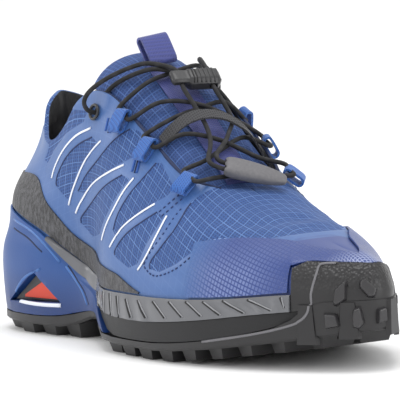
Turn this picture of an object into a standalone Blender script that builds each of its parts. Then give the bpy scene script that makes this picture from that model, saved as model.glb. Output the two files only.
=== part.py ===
"""Right trail running shoe: lugged rubber outsole, foam sole unit, lasted textile upper, speed lace.

Metres, +X to the toe, +Y to the inner side of the foot, +Z up, floor at z = 0.
"""
import bpy
import bmesh
import numpy as np
from functools import lru_cache
from math import cos, pi, radians, sin
from mathutils import Vector

for old in list(bpy.data.objects):
    bpy.data.objects.remove(old, do_unlink=True)

# Overall sizes
SHOE_LENGTH = 0.292
BALL_WIDTH = 0.107
HEEL_STACK = 0.035
INSTEP_HEIGHT = 0.125
TOE_SPRING = 0.0145

# Outsole
LUG_DEPTH = 0.005
RUBBER_BASE = 0.0022
RUBBER_WRAP = 0.0024
RUBBER_INSET = 0.0012
UNDER_TUCK = 0.0012
BUMPER_THICKNESS = 0.0026
LUG_PITCH = 0.0165
LUG_ROOT = 0.7
LUG_GAP = 0.0045

# Sole unit
HEEL_INSET = 0.009
FOOT_TUCK = 0.0015
FLANGE_THICKNESS = 0.002
RIB_GROOVE = 0.0012
RIB_COUNT = 17
WINDOW_DEPTH = 0.0042
INSET_THICKNESS = 0.001
INSOLE_THICKNESS = 0.004

# Upper
WALL = 0.0022
OVERLAY = 0.0008
TONGUE_THICKNESS = 0.0042
TONGUE_HALF_WIDTH = 0.034
TONGUE_RISE = 0.011
TONGUE_LENGTH = 0.125
# How full the arch of the tongue is at the collar and from a share of the way down, and how far its
# top corners drop as a share of the rise
ARCH_TOP, ARCH_LOW, ARCH_LOW_SHARE = 1.15, 0.75, 0.42
TONGUE_CORNER = 0.40

# Ribbons, cord and fittings
RIBBON = 0.0012
LOOP_WIDTH = 0.009
LOOP_LENGTH = 0.0135
LOOP_HEIGHT = 0.0054
PULL_WIDTH = 0.0155
PULL_LENGTH = 0.0165
PULL_HEIGHT = 0.0056
PULL_REACH = 0.915
PULL_LIFT = 0.0014
PULL_LEAN = (-0.48, -0.11, 0.87)
LABEL_WIDTH = 0.016
LABEL_RUN = (0.28, 0.90)
STRAP_WIDTH = 0.006
LACE_DIAMETER = 0.0027
BLOCK_BEVEL = 0.28
BORE_SIDES = 8
RING_REACH = 0.90
EYELET_RADIUS = 0.0036
EYELET_WIRE = 0.001
EYELET_UP = 0.88
TOGGLE_SOCKET = 0.005
LOCK_LENGTH = 0.024
LOCK_WIDTH = 0.011
LOCK_HEIGHT = 0.0082
TOGGLE_LENGTH = 0.031
TOGGLE_WIDTH = 0.0115
TOGGLE_HEIGHT = 0.0062

GAP = 0.0003
STATIONS = 34
CROWDING = 0.3
RISERS = 7

# Widest line of the sole seen from above: along is a share of the length from the heel,
# across a share of the ball width from the middle, minus to the outer side
OUTLINE = (
    ("heel back", 0.000, 0.000), ("outer heel corner", 0.007, -0.173), ("outer heel", 0.025, -0.304),
    ("outer heel side", 0.066, -0.379), ("outer heel flank", 0.127, -0.402),
    ("outer heel front", 0.202, -0.388),
    ("waist rear", 0.282, -0.345), ("outer waist", 0.332, -0.336), ("waist flare", 0.373, -0.390),
    ("flare front", 0.414, -0.458), ("outer arch", 0.469, -0.495), ("outer ball rear", 0.551, -0.508),
    ("outer ball", 0.630, -0.500), ("outer tread", 0.716, -0.463), ("outer toe rear", 0.801, -0.388),
    ("outer toe", 0.876, -0.292), ("outer toe corner", 0.940, -0.168), ("toe front", 0.985, -0.045),
    ("toe tip", 1.000, 0.048), ("inner tip", 0.990, 0.132), ("inner toe", 0.955, 0.210),
    ("inner toe side", 0.880, 0.337), ("inner tread", 0.818, 0.430), ("inner ball", 0.732, 0.484),
    ("inner ball rear", 0.646, 0.500), ("inner flare", 0.550, 0.444), ("inner arch front", 0.440, 0.360),
    ("inner arch", 0.337, 0.327), ("inner heel front", 0.234, 0.350), ("inner heel side", 0.137, 0.378),
    ("inner heel", 0.062, 0.336), ("inner heel corner", 0.015, 0.185),
)
TIP_ROW = 18

# Heights along the sole. ground is a share of the toe spring, the rest are shares of the heel stack.
# rubber: top of the side rubber, low and rim: lower and upper edge of the ribbed rim, bed: foot bed
SOLE = (
    # along, ground, arch, rubber, low, rim, bed
    (0.000, 0.060, 0.00, 0.27, 1.83, 1.84, 1.00),
    (0.050, 0.010, 0.00, 0.27, 1.78, 1.79, 1.00),
    (0.150, 0.000, 0.00, 0.27, 1.57, 1.58, 1.00),
    (0.205, 0.000, 0.00, 0.28, 1.43, 1.44, 0.99),
    (0.235, 0.000, 0.00, 0.30, 1.22, 1.31, 0.97),
    (0.290, 0.000, 0.10, 0.38, 0.93, 1.10, 0.91),
    (0.340, 0.000, 0.22, 0.46, 0.76, 0.96, 0.83),
    (0.390, 0.000, 0.12, 0.36, 0.63, 0.88, 0.74),
    (0.450, 0.000, 0.00, 0.24, 0.55, 0.86, 0.67),
    (0.520, 0.000, 0.00, 0.24, 0.515, 0.87, 0.63),
    (0.600, 0.000, 0.00, 0.25, 0.54, 0.875, 0.615),
    (0.720, 0.190, 0.00, 0.34, 0.63, 0.91, 0.69),
    (0.810, 0.420, 0.00, 0.47, 0.73, 0.97, 0.78),
    (0.880, 0.610, 0.00, 0.63, 0.80, 1.03, 0.85),
    (0.905, 0.680, 0.00, 0.78, 0.82, 1.04, 0.875),
    (0.925, 0.740, 0.00, 0.93, 0.84, 1.05, 0.895),
    (1.000, 1.000, 0.00, 0.96, 0.88, 1.07, 0.945),
)

# Gap between the widest line and the upper's outside at the rim, as a share of the heel inset
RIM_INSET = (
    # share, inset
    (0.00, 1.00), (0.08, 0.95), (0.16, 0.70), (0.24, 0.48), (0.32, 0.40), (0.60, 0.40),
    (0.80, 0.45), (0.90, 0.55), (1.00, 0.62),
)

# Top line of each side: share is the way round the sole from heel to toe, along and across as above,
# height a share of the instep height. The last rows are the vamp ridge, the same on both sides.
RIDGE = (
    (0.69, 0.629, 0.042, 0.624), (0.75, 0.667, 0.047, 0.588), (0.82, 0.7285, 0.056, 0.534),
    (0.90, 0.804, 0.066, 0.478), (1.00, 0.869, 0.066, 0.440),
)
TOP_LINE = {
    # share, along, across, height
    "lateral": (
        (0.00, 0.034, 0.020, 0.928), (0.06, 0.0500, -0.075, 0.880), (0.12, 0.091, -0.158, 0.785),
        (0.20, 0.165, -0.252, 0.760), (0.235, 0.205, -0.258, 0.790),
        (0.27, 0.2405, -0.257, 0.905), (0.33, 0.3127, -0.234, 0.985),
        (0.38, 0.357, -0.224, 0.962), (0.46, 0.4467, -0.220, 0.848), (0.54, 0.526, -0.220, 0.740),
        (0.60, 0.581, -0.206, 0.664), (0.65, 0.615, -0.107, 0.632)) + RIDGE,
    "medial": (
        (0.00, 0.034, 0.020, 0.928), (0.06, 0.0515, 0.145, 0.892), (0.12, 0.089, 0.238, 0.816),
        (0.20, 0.165, 0.294, 0.776), (0.235, 0.207, 0.306, 0.800),
        (0.27, 0.244, 0.313, 0.900), (0.33, 0.330, 0.308, 0.990),
        (0.38, 0.392, 0.299, 0.952), (0.46, 0.467, 0.294, 0.852), (0.54, 0.529, 0.294, 0.736),
        (0.60, 0.584, 0.276, 0.654), (0.65, 0.615, 0.182, 0.630)) + RIDGE,
}
RIDGE_START = 0.69

# How each section of the upper leaves the rim and meets the top line. lean is outward from upright,
# arrive is above level, in degrees; rise and run are handle lengths as shares of the section's chord
BULGE = (
    # share, lean, rise, arrive, run
    (0.00, -2.0, 0.30, 96.0, 0.30), (0.12, 2.0, 0.33, 88.0, 0.33), (0.20, 5.0, 0.35, 86.0, 0.30),
    (0.33, 7.0, 0.35, 72.0, 0.35), (0.46, 3.0, 0.40, 58.0, 0.36), (0.60, -6.0, 0.42, 40.0, 0.36),
    (0.69, -8.0, 0.42, 0.0, 0.42), (0.85, -8.0, 0.40, 0.0, 0.42), (1.00, -6.0, 0.45, 0.0, 0.40),
)

# Lock on the tongue (reach, across, height), strands in it (across), and ends of the pull tab
LOCK_PLACE = (0.775, 0.15, 0.0088)
STRANDS = {"lateral": -0.08, "medial": 0.38}
STRAND_HEIGHT = 0.0064
TOGGLE_START = Vector((0.0300, -0.0060, 0.0895))
TOGGLE_END = Vector((0.0438, 0.0200, 0.0808))

# Shares of the way round at which pieces start or stop
CRADLE_END_LOW = {"lateral": 0.480, "medial": 0.475}
CRADLE_END_TOP = {"lateral": 0.415, "medial": 0.405}
BAND_START = 0.262
BUMPER_START = {"lateral": 0.868, "medial": 0.872}
THROAT_START = 0.33
TONGUE_FOOT = 0.76
LOOP_SHARES = {"lateral": (0.423, 0.495, 0.603), "medial": (0.445, 0.520, 0.612)}
LOOP_SEATS = (2, 2, 5)
EYELET_SHARE = {"lateral": 0.348, "medial": 0.352}

TOE_FILM_START = 0.66
TOE_FILM_RISE = 0.30
TOE_FILM_MARGIN = 0.04

OUTWARD = {"lateral": -1.0, "medial": 1.0}
HALF_GIRTH = 0.45
SLIP = GAP / (SHOE_LENGTH * HALF_GIRTH)


def smooth_table(rows, column):
    """Smooth curve through one column of a table keyed by its first column, without overshoot."""
    keys = np.array([row[0] for row in rows])
    values = np.array([row[column] for row in rows])
    steps = np.diff(keys)
    slopes = np.diff(values) / steps
    tangents = np.zeros(len(keys))
    for i in range(1, len(keys) - 1):
        if slopes[i - 1] * slopes[i] > 0:
            before = 2 * steps[i] + steps[i - 1]
            after = steps[i] + 2 * steps[i - 1]
            tangents[i] = (before + after) / (before / slopes[i - 1] + after / slopes[i])
    tangents[0] = slopes[0]
    tangents[-1] = slopes[-1]

    def value(at):
        at = min(max(at, keys[0]), keys[-1])
        i = min(max(int(np.searchsorted(keys, at)) - 1, 0), len(steps) - 1)
        t = (at - keys[i]) / steps[i]
        left = values[i] * (1 + 2 * t) + tangents[i] * steps[i] * t
        right = values[i + 1] * (3 - 2 * t) + tangents[i + 1] * steps[i] * (t - 1)
        return float(left * (1 - t) ** 2 + right * t ** 2)
    return value


def closed_spline(points, per_span):
    """Dense points on a closed smooth curve through the given ones, and where each one lies."""
    count = len(points)
    dense = []
    for i in range(count):
        a, b, c, d = (points[(i + k) % count] for k in (-1, 0, 1, 2))
        for t in np.arange(per_span) / per_span:
            dense.append(0.5 * (2 * b + (c - a) * t + (2 * a - 5 * b + 4 * c - d) * t ** 2
                                + (3 * b - a - 3 * c + d) * t ** 3))
    return np.array(dense)


def trace_sides():
    """Both sides of the sole's widest line from heel to toe, with inward normals, by share of its run."""
    per_span = 16
    points = np.array([((along - 0.5) * SHOE_LENGTH, across * BALL_WIDTH) for _, along, across in OUTLINE])
    dense = closed_spline(points, per_span)
    tangents = np.roll(dense, -1, axis=0) - np.roll(dense, 1, axis=0)
    inward = np.stack([-tangents[:, 1], tangents[:, 0]], axis=1)
    inward /= np.linalg.norm(inward, axis=1)[:, None]
    tip = TIP_ROW * per_span
    runs = {"lateral": np.arange(0, tip + 1), "medial": np.append(np.arange(len(dense), tip, -1), tip)}
    sides = {}
    for side, picks in runs.items():
        picks = picks % len(dense)
        line = dense[picks]
        steps = np.linalg.norm(np.diff(line, axis=0), axis=1)
        run = np.append(0, np.cumsum(steps))
        sides[side] = (run / run[-1], line, inward[picks])
    return sides


SIDES = trace_sides()
GROUND, ARCH, RUBBER, LOW, RIM, BED = (smooth_table(SOLE, column) for column in range(1, 7))
INSET = smooth_table(RIM_INSET, 1)
TOP = {side: [smooth_table(rows, column) for column in (1, 2, 3)] for side, rows in TOP_LINE.items()}
LEAN, RISE, ARRIVE, RUN = (smooth_table(BULGE, column) for column in range(1, 5))


def edge_point(side, share, depth):
    """Point in plan on the widest line, moved inward by a depth."""
    keys, line, inward = SIDES[side]
    x, y = (np.interp(share, keys, line[:, k]) for k in (0, 1))
    normal = np.array([np.interp(share, keys, inward[:, k]) for k in (0, 1)])
    normal /= np.linalg.norm(normal)
    return np.array([x, y]) + normal * depth, normal


# Stations round each side, closer together at the heel and toe, and levels up the upper
STOPS = tuple(i / STATIONS - CROWDING * sin(2 * pi * i / STATIONS) / (2 * pi) for i in range(STATIONS + 1))
LEVELS = (-1.0,) + tuple(k / RISERS for k in range(RISERS + 1))
CRADLE_SHARES = [end for ends in (CRADLE_END_LOW, CRADLE_END_TOP) for end in ends.values()]
JOINT_FIRST = max(i for i in range(STATIONS) if STOPS[i] < min(CRADLE_SHARES) - 3 * SLIP)
CRADLE_STATION = JOINT_FIRST + 2
JOINT_LAST = min(i for i in range(STATIONS) if STOPS[i] > max(CRADLE_SHARES) + 1 / STATIONS) + 1


def along(x):
    """Share of the shoe's length from the heel."""
    return x / SHOE_LENGTH + 0.5


def ground(x):
    return TOE_SPRING * GROUND(along(x))


def tread_base(x):
    return ground(x) + LUG_DEPTH + HEEL_STACK * ARCH(along(x))


def rubber_floor(x):
    return tread_base(x) + RUBBER_BASE


def rubber_edge(x):
    return max(HEEL_STACK * RUBBER(along(x)), rubber_floor(x) + RUBBER_BASE / 2)


def low_edge(x):
    return HEEL_STACK * LOW(along(x))


def rim(x):
    return HEEL_STACK * RIM(along(x))


def bed(x):
    return HEEL_STACK * BED(along(x))


def rim_depth(share):
    return HEEL_INSET * INSET(share)


def foot_depth(share):
    return rim_depth(share) + FOOT_TUCK


def wall_depth(share, x, height):
    """Depth of the upper's outside between the foot bed and the rim."""
    down = (rim(x) - height) / (rim(x) - bed(x))
    return rim_depth(share) + FOOT_TUCK * min(max(down, 0), 1)


def joined_station(side, i, level, slip):
    """Stations of the core and the cradle: like the upper's, but gathered at the cradle's slanted end."""
    first, last = JOINT_FIRST, JOINT_LAST
    end = cradle_end(side, level)
    if i <= first:
        return STOPS[i]
    if i <= CRADLE_STATION:
        return STOPS[first] + (end - slip - STOPS[first]) * (i - first) / (CRADLE_STATION - first)
    if i < last:
        return end + (STOPS[last] - end) * (i - CRADLE_STATION - 1) / (last - CRADLE_STATION - 1)
    return STOPS[i]


def facet(share, stops):
    """The two stops around a share and how far it lies between them."""
    i = min(max(int(np.searchsorted(stops, share + 1e-7)) - 1, 0), len(stops) - 2)
    return stops[i], stops[i + 1], (share - stops[i]) / (stops[i + 1] - stops[i])


def ring_point(side, share, depth, height):
    """Point on the facets between stations, at a depth in from the widest line.

    height is a function of x."""
    before, after, part = facet(share, STOPS)
    ends = []
    for each in (before, after):
        plan, _ = edge_point(side, each, depth)
        ends.append(Vector((plan[0], plan[1], height(plan[0]))))
    return ends[0].lerp(ends[1], part)


def top_line(side, share):
    near, across, height = (column(share) for column in TOP[side])
    return np.array([(near - 0.5) * SHOE_LENGTH, across * BALL_WIDTH, height * INSTEP_HEIGHT])


@lru_cache(maxsize=None)
def section(side, share):
    """Foot, rim and the Bezier handles up to the top line, of one section of the upper's outside."""
    foot_plan, _ = edge_point(side, share, foot_depth(share))
    rim_plan, inward = edge_point(side, share, rim_depth(share))
    foot = np.array([*foot_plan, bed(foot_plan[0]) + GAP])
    start = np.array([*rim_plan, rim(rim_plan[0])])
    end = top_line(side, share)
    chord = np.linalg.norm(end - start)
    heading = (end - start)[:2] / np.linalg.norm((end - start)[:2])
    lean, arrive = radians(LEAN(share)), radians(ARRIVE(share))
    leave = np.array([-inward[0] * sin(lean), -inward[1] * sin(lean), cos(lean)])
    slope = 0.0
    if share > RIDGE_START:
        ahead = top_line(side, min(share + 0.01, 1.0))
        behind = top_line(side, share - 0.01)
        slope = (behind[2] - ahead[2]) / (ahead[0] - behind[0])
    meet = np.array([heading[0] * cos(arrive), heading[1] * cos(arrive), sin(arrive) - slope * heading[0]])
    meet /= np.linalg.norm(meet)
    return foot, start, start + leave * RISE(share) * chord, end - meet * RUN(share) * chord, end


@lru_cache(maxsize=None)
def curved_point(side, share, up):
    """Curved outside of the upper: up is 0 at the rim and 1 at the top line, and -1 at the foot bed."""
    foot, start, lift, reach, end = section(side, share)
    if up < 0:
        return start + (foot - start) * -up
    down = 1 - up
    return start * down ** 3 + lift * 3 * down ** 2 * up + reach * 3 * down * up ** 2 + end * up ** 3


def on_facets(value, side, share, up):
    """Value of a function of the wall, carried straight between stations and risers."""
    before, after, part = facet(share, STOPS)
    low, high, rise = facet(up, LEVELS)
    near = value(side, before, low) * (1 - rise) + value(side, before, high) * rise
    far = value(side, after, low) * (1 - rise) + value(side, after, high) * rise
    return near * (1 - part) + far * part


def wall_point(side, share, up):
    """Outside of the upper as built, on its facets."""
    return on_facets(curved_point, side, share, up)


def wall_normal(side, share, up):
    """Outward normal carried between the corners of the upper's facets."""
    total = on_facets(curved_normal, side, share, up)
    return total / np.linalg.norm(total)


@lru_cache(maxsize=None)
def curved_normal(side, share, up):
    """Outward normal of the upper; both sides agree on the heel and toe centre lines."""
    step = 0.004
    sides = ("lateral", "medial") if share <= 0 or share >= 1 else (side,)
    total = np.zeros(3)
    for each in sides:
        before, after = max(share - step, 0), min(share + step, 1)
        along_wall = curved_point(each, after, up) - curved_point(each, before, up)
        low, high = (up - step, up + step) if -1 < up < 0 else (max(up - step, 0), min(up + step, 1))
        up_wall = curved_point(each, share, high) - curved_point(each, share, low)
        normal = np.cross(along_wall, up_wall) * -OUTWARD[each]
        total += normal / np.linalg.norm(normal)
    return total / np.linalg.norm(total)


def skin(side, share, up, off):
    """Point of the upper's outside moved out by off."""
    return wall_point(side, share, up) + wall_normal(side, share, up) * off


def up_at_height(side, share, height):
    """How far up the wall a height is met."""
    low, high = 0.0, 1.0
    for _ in range(24):
        middle = (low + high) / 2
        if wall_point(side, share, middle)[2] < height:
            low = middle
        else:
            high = middle
    return (low + high) / 2


COLLECTION = bpy.data.collections.new("trail_running_shoe")
CUTTERS = bpy.data.collections.new("cutters")
for made in (COLLECTION, CUTTERS):
    bpy.context.scene.collection.children.link(made)


def material(name, colour, roughness, metallic=0.0):
    """Principled material from an sRGB hex colour."""
    made = bpy.data.materials.get(name)
    if made:
        return made
    made = bpy.data.materials.new(name)
    made.use_nodes = True
    channels = [int(colour[k:k + 2], 16) / 255 for k in (1, 3, 5)]
    linear = [c / 12.92 if c <= 0.04045 else ((c + 0.055) / 1.055) ** 2.4 for c in channels]
    shader = made.node_tree.nodes["Principled BSDF"]
    shader.inputs["Base Color"].default_value = (*linear, 1)
    shader.inputs["Roughness"].default_value = roughness
    shader.inputs["Metallic"].default_value = metallic
    made.diffuse_color = (*linear, 1)
    return made


def rubber_black():
    return material("tread rubber", "#2B2A2E", 0.72)


def foam_dark():
    return material("dark foam", "#3B3B40", 0.78)


def foam_blue():
    return material("blue foam", "#1F4FA0", 0.6)


def rim_grey():
    return material("grey rim", "#8B8B90", 0.45)


def cloth_blue():
    return material("blue ripstop", "#3F63AE", 0.75)


def film_violet():
    return material("violet film", "#414C98", 0.55)


def rand_grey():
    return material("textured rand", "#57565A", 0.7)


def ribbon_blue():
    return material("blue ribbon", "#2F6FD0", 0.6)


def ribbon_navy():
    return material("navy ribbon", "#4A55A0", 0.6)


def cord_grey():
    return material("dark cord", "#3C3D42", 0.7)


def plastic_grey():
    return material("grey plastic", "#4C4D50", 0.5)


def film_red():
    return material("red film", "#E0452F", 0.4)


def lining_dark():
    return material("dark lining", "#26272B", 0.9)


def add_object(name, mesh, finish, home=None):
    made = bpy.data.objects.new(name, mesh)
    mesh.materials.clear()
    if finish:
        mesh.materials.append(finish)
    (home or COLLECTION).objects.link(made)
    return made


def warped(face):
    """Whether a four-sided face isn't flat."""
    if len(face.verts) != 4:
        return False
    a, b, c, d = (corner.co for corner in face.verts)
    normal = (b - a).cross(c - a)
    return abs(normal.dot(d - a)) > normal.length * 0.00001


def mesh_from(name, build):
    """Closed mesh filled by a function, merged, its warped faces split and turned to face out."""
    body = bmesh.new()
    build(body)
    bmesh.ops.remove_doubles(body, verts=body.verts, dist=0.00001)
    bmesh.ops.triangulate(body, faces=[face for face in body.faces if warped(face)], quad_method="SHORT_EDGE")
    bmesh.ops.recalc_face_normals(body, faces=body.faces)
    if body.calc_volume(signed=True) < 0:
        bmesh.ops.reverse_faces(body, faces=body.faces)
    mesh = bpy.data.meshes.new(name)
    body.to_mesh(mesh)
    body.free()
    return mesh


def as_cutter(made):
    """Takes a shape out of the part and leaves it as a cutter."""
    for home in list(made.users_collection):
        home.objects.unlink(made)
    CUTTERS.objects.link(made)
    made.hide_render = True
    made.display_type = "WIRE"
    return made


def combine(target, other, operation):
    """Boolean of the target with another shape."""
    cut = target.modifiers.new(operation.lower(), "BOOLEAN")
    cut.operation = operation
    cut.solver = "EXACT"
    cut.object = as_cutter(other)
    return target


def shaded(made, angle=40):
    made.data.shade_smooth()
    made.data.set_sharp_from_angle(angle=radians(angle))
    return made


def ladder(body, lateral, medial):
    """Closes a ring by rungs from its outer to its inner side."""
    for i in range(len(lateral) - 1):
        corners = [lateral[i], lateral[i + 1], medial[i + 1], medial[i]]
        unique = list(dict.fromkeys(corners))
        if len(unique) > 2:
            body.faces.new(unique)


def slab(name, rings, finish):
    """Body built up from rings round the whole sole, each closed across at top and bottom.

    A ring is a function of side and station number that gives a point."""
    def build(body):
        loops = []
        for ring in rings:
            lateral = [body.verts.new(ring("lateral", i)) for i in range(STATIONS + 1)]
            inner = [body.verts.new(ring("medial", i)) for i in range(1, STATIONS)]
            loops.append((lateral, [lateral[0]] + inner + [lateral[-1]]))
        for (low_out, low_in), (high_out, high_in) in zip(loops, loops[1:]):
            for low, high in ((low_out, high_out), (low_in, high_in)):
                for i in range(STATIONS):
                    body.faces.new([low[i], low[i + 1], high[i + 1], high[i]])
        ladder(body, *loops[0])
        ladder(body, *loops[-1])
    return add_object(name, mesh_from(name, build), finish)


def sweep(name, sections, finish, home=None):
    """Body through closed sections, its ends filled."""
    def build(body):
        loops = [[body.verts.new(point) for point in each] for each in sections]
        count = len(loops[0])
        for here, there in zip(loops, loops[1:]):
            for k in range(count):
                body.faces.new([here[k], here[(k + 1) % count], there[(k + 1) % count], there[k]])
        body.faces.new(loops[0])
        body.faces.new(loops[-1])
    return add_object(name, mesh_from(name, build), finish, home)


def sheet(name, point, across, lengthwise, finish):
    """Body of two layers: point(u, v, layer) with layer 0 inside and 1 outside."""
    def build(body):
        grid = {}
        for j, v in enumerate(lengthwise):
            for i, u in enumerate(across):
                for layer in (0, 1):
                    grid[i, j, layer] = body.verts.new(point(u, v, layer))
        columns, rows = len(across), len(lengthwise)
        for i in range(columns - 1):
            for j in range(rows - 1):
                for layer in (0, 1):
                    body.faces.new([grid[i, j, layer], grid[i + 1, j, layer],
                                    grid[i + 1, j + 1, layer], grid[i, j + 1, layer]])
        for i in range(columns - 1):
            for j in (0, rows - 1):
                body.faces.new([grid[i, j, 0], grid[i + 1, j, 0], grid[i + 1, j, 1], grid[i, j, 1]])
        for j in range(rows - 1):
            for i in (0, columns - 1):
                body.faces.new([grid[i, j, 0], grid[i, j + 1, 0], grid[i, j + 1, 1], grid[i, j, 1]])
    return add_object(name, mesh_from(name, build), finish)


# Outsole: base sheet with a rolled-up edge, lugs below and the bumper over the toe
def outsole_base():
    def ring(depth, height):
        return lambda side, i: ring_point(side, STOPS[i], depth, height)
    outer = RUBBER_INSET
    return slab("outsole", (
        ring(outer + UNDER_TUCK, tread_base),
        ring(outer, lambda x: tread_base(x) + UNDER_TUCK),
        ring(outer, rubber_edge),
        ring(outer + RUBBER_WRAP, rubber_edge),
        ring(outer + RUBBER_WRAP, rubber_floor),
    ), rubber_black())


def bumper_top(side, share):
    """How far up the toe the bumper reaches."""
    start = BUMPER_START[side]
    away = (share - start) / (1 - start)
    shoulder = min(max(away / 0.16, 0), 1)
    reach = 0.30 if side == "lateral" else 0.16 + 0.14 * away
    return reach * (0.72 + 0.28 * sin(shoulder * pi / 2))


def toe_bumper():
    """Rubber that rolls up over the toe of the upper, from one side round to the other."""
    shares = {side: [start] + [share for share in STOPS if share > start + SLIP]
              for side, start in BUMPER_START.items()}
    stops = [("lateral", share) for share in shares["lateral"]]
    stops += [("medial", share) for share in reversed(shares["medial"][:-1])]
    sections = []
    for side, share in stops:
        top = bumper_top(side, share)
        outer = RUBBER_INSET + RUBBER_WRAP / 3
        rows = [min(riser / RISERS, top) for riser in (1, 2)] + [top]
        front = [Vector(skin(side, share, row, GAP + BUMPER_THICKNESS)) for row in rows]
        back = [Vector(skin(side, share, row, GAP)) for row in reversed(rows)]
        sections.append([ring_point(side, share, outer, low_edge), ring_point(side, share, outer, rim)]
                        + front + back
                        + [ring_point(side, share, rim_depth(share) - GAP, rim),
                           ring_point(side, share, foot_depth(share) - GAP, low_edge)])
    return sweep("bumper", sections, rubber_black())


def lug(body, centre, size, turn, bottom, top, draft=0.0009):
    """One tapered tread block with a notched rear edge."""
    length, width = size
    outline = [(0.5, -0.5), (0.5, 0.5), (-0.32, 0.5), (-0.5, 0.22), (-0.5, -0.22), (-0.32, -0.5)]
    loops = []
    for level, spread in ((bottom, -draft), (top, draft)):
        loop = []
        for x, y in outline:
            px = x * (length + 2 * spread)
            py = y * (width + 2 * spread)
            wx = centre[0] + px * cos(turn) - py * sin(turn)
            wy = centre[1] + px * sin(turn) + py * cos(turn)
            loop.append(body.verts.new((wx, wy, level(wx))))
        loops.append(loop)
    low, high = loops
    count = len(outline)
    for k in range(count):
        body.faces.new([low[k], low[(k + 1) % count], high[(k + 1) % count], high[k]])
    body.faces.new(low)
    body.faces.new(high)


def half_widths(x):
    """Outer and inner edge of the sole in y at a place along it."""
    edges = []
    for side in ("lateral", "medial"):
        _, line, _ = SIDES[side]
        order = np.argsort(line[:, 0])
        edges.append(float(np.interp(x, line[order, 0], line[order, 1])))
    return edges


def tread():
    """All lugs: rows across the heel and the ball, the heel's facing back and the ball's facing forward."""
    def build(body):
        for first, last, facing in ((0.045, 0.285, pi), (0.435, 0.935, 0.0)):
            start, stop = ((share - 0.5) * SHOE_LENGTH for share in (first, last))
            rows = max(int(round((stop - start) / LUG_PITCH)), 1)
            pitch = (stop - start) / rows
            for row in range(rows):
                x = start + pitch * (row + 0.5)
                outer, inner = half_widths(x)
                nose = [half_widths(x + sign * pitch / 2) for sign in (-1, 1)]
                low = max(outer, nose[0][0], nose[1][0]) + RUBBER_INSET + UNDER_TUCK
                high = min(inner, nose[0][1], nose[1][1]) - RUBBER_INSET - UNDER_TUCK
                across = max(int(round((high - low) / (LUG_PITCH * 1.5))), 2)
                share = (high - low) / across
                for column in range(across):
                    y = low + share * (column + 0.5)
                    edge = column in (0, across - 1)
                    size = (pitch - LUG_GAP * (0.8 if edge else 1.0),
                            share - LUG_GAP * (0.6 if edge else 1.1))
                    lug(body, (x, y), size, facing, ground, lambda px: tread_base(px) + RUBBER_BASE / 3)
    return add_object("tread", mesh_from("tread", build), rubber_black())


def toe_lugs():
    """Four tall blocks that stand proud of the toe, below the bumper."""
    def build(body):
        for side, share in (("lateral", 0.890), ("lateral", 0.950), ("medial", 0.975), ("medial", 0.905)):
            centre, inward = edge_point(side, share, 0)
            wide = np.array([-inward[1], inward[0]]) * LUG_PITCH * 0.36
            low, high = ground(centre[0]) + LUG_DEPTH / 2, low_edge(centre[0]) + LUG_DEPTH / 2
            loops = []
            for level, out, narrow in ((low, -RUBBER_INSET / 3, 1.0), (high, -RUBBER_INSET / 2, 0.7)):
                loop = []
                inner = RUBBER_INSET + RUBBER_WRAP * LUG_ROOT
                for depth, spread in ((inner, -1), (inner, 1),
                                      (-out, 0.8), (-out, -0.8)):
                    plan = centre + inward * depth + wide * spread * narrow
                    loop.append(body.verts.new((plan[0], plan[1], level)))
                loops.append(loop)
            for k in range(4):
                body.faces.new([loops[0][k], loops[0][(k + 1) % 4], loops[1][(k + 1) % 4], loops[1][k]])
            body.faces.new(loops[0])
            body.faces.new(loops[1])
    return add_object("toe_lugs", mesh_from("toe_lugs", build), rubber_black())


def make_outsole():
    made = outsole_base()
    for extra in (toe_bumper(), tread(), toe_lugs()):
        combine(made, extra, "UNION")
    return made


# Midsole core: fills the sole, steps in behind the cradle, the rim and the rolled-up rubber
def cradle_end(side, level):
    """Where the heel cradle stops, level 0 at the rubber and 1 under the rim."""
    low, top = CRADLE_END_LOW[side], CRADLE_END_TOP[side]
    return low + (top - low) * level


def make_core():
    cover = RUBBER_INSET + RUBBER_WRAP + 2 * GAP

    def seen(x):
        """1 where dark foam shows between rubber and rim, 0 where the rubber rises to cover it."""
        pitch = 1.3 * SHOE_LENGTH / STATIONS
        bare = min(low_edge(x + step) - rubber_edge(x + step) for step in (0, pitch))
        return min(max((bare - 2 * GAP) / (RUBBER_WRAP / 2), 0), 1)

    def shelf(x):
        return min(rubber_edge(x) + GAP, low_edge(x) - 3 * GAP)

    def under_rim(x):
        return min(low_edge(x) - GAP, bed(x) - 2 * GAP)

    def bottom(side, i):
        return ring_point(side, STOPS[i], cover, lambda x: rubber_floor(x) + GAP)

    def ring(level, height, front, lift=0.0):
        def point(side, i):
            share = joined_station(side, i, level, SLIP)
            plan, _ = edge_point(side, share, RUBBER_INSET)
            depth = front(share, plan[0])
            if i <= CRADLE_STATION:
                depth = max(foot_depth(share), cover)
            return ring_point(side, share, depth, lambda x: height(x) + lift)
        return point

    def behind_rubber(share, x):
        return cover

    def flush(share, x):
        return cover - (cover - RUBBER_INSET - GAP) * seen(x)

    def inside(height):
        return lambda side, i: ring_point(side, STOPS[i], foot_depth(STOPS[i]), height)

    return slab("midsole_core", (
        bottom,
        ring(0.0, shelf, behind_rubber),
        ring(0.0, shelf, flush, GAP / 2),
        ring(1.0, under_rim, flush),
        inside(lambda x: under_rim(x) - GAP),
        inside(bed),
    ), foam_dark())


# Heel cradle: blue foam round the heel from the rubber up to a flange on the upper
CRADLE_LEVELS = (
    # height share at the waist, height share at the heel, share of the flange's depth
    (0.00, 0.00, 0.20), (0.35, 0.30, 0.0), (0.86, 0.56, 0.04), (0.95, 0.74, 0.86), (1.00, 1.00, 1.0),
)


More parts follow.
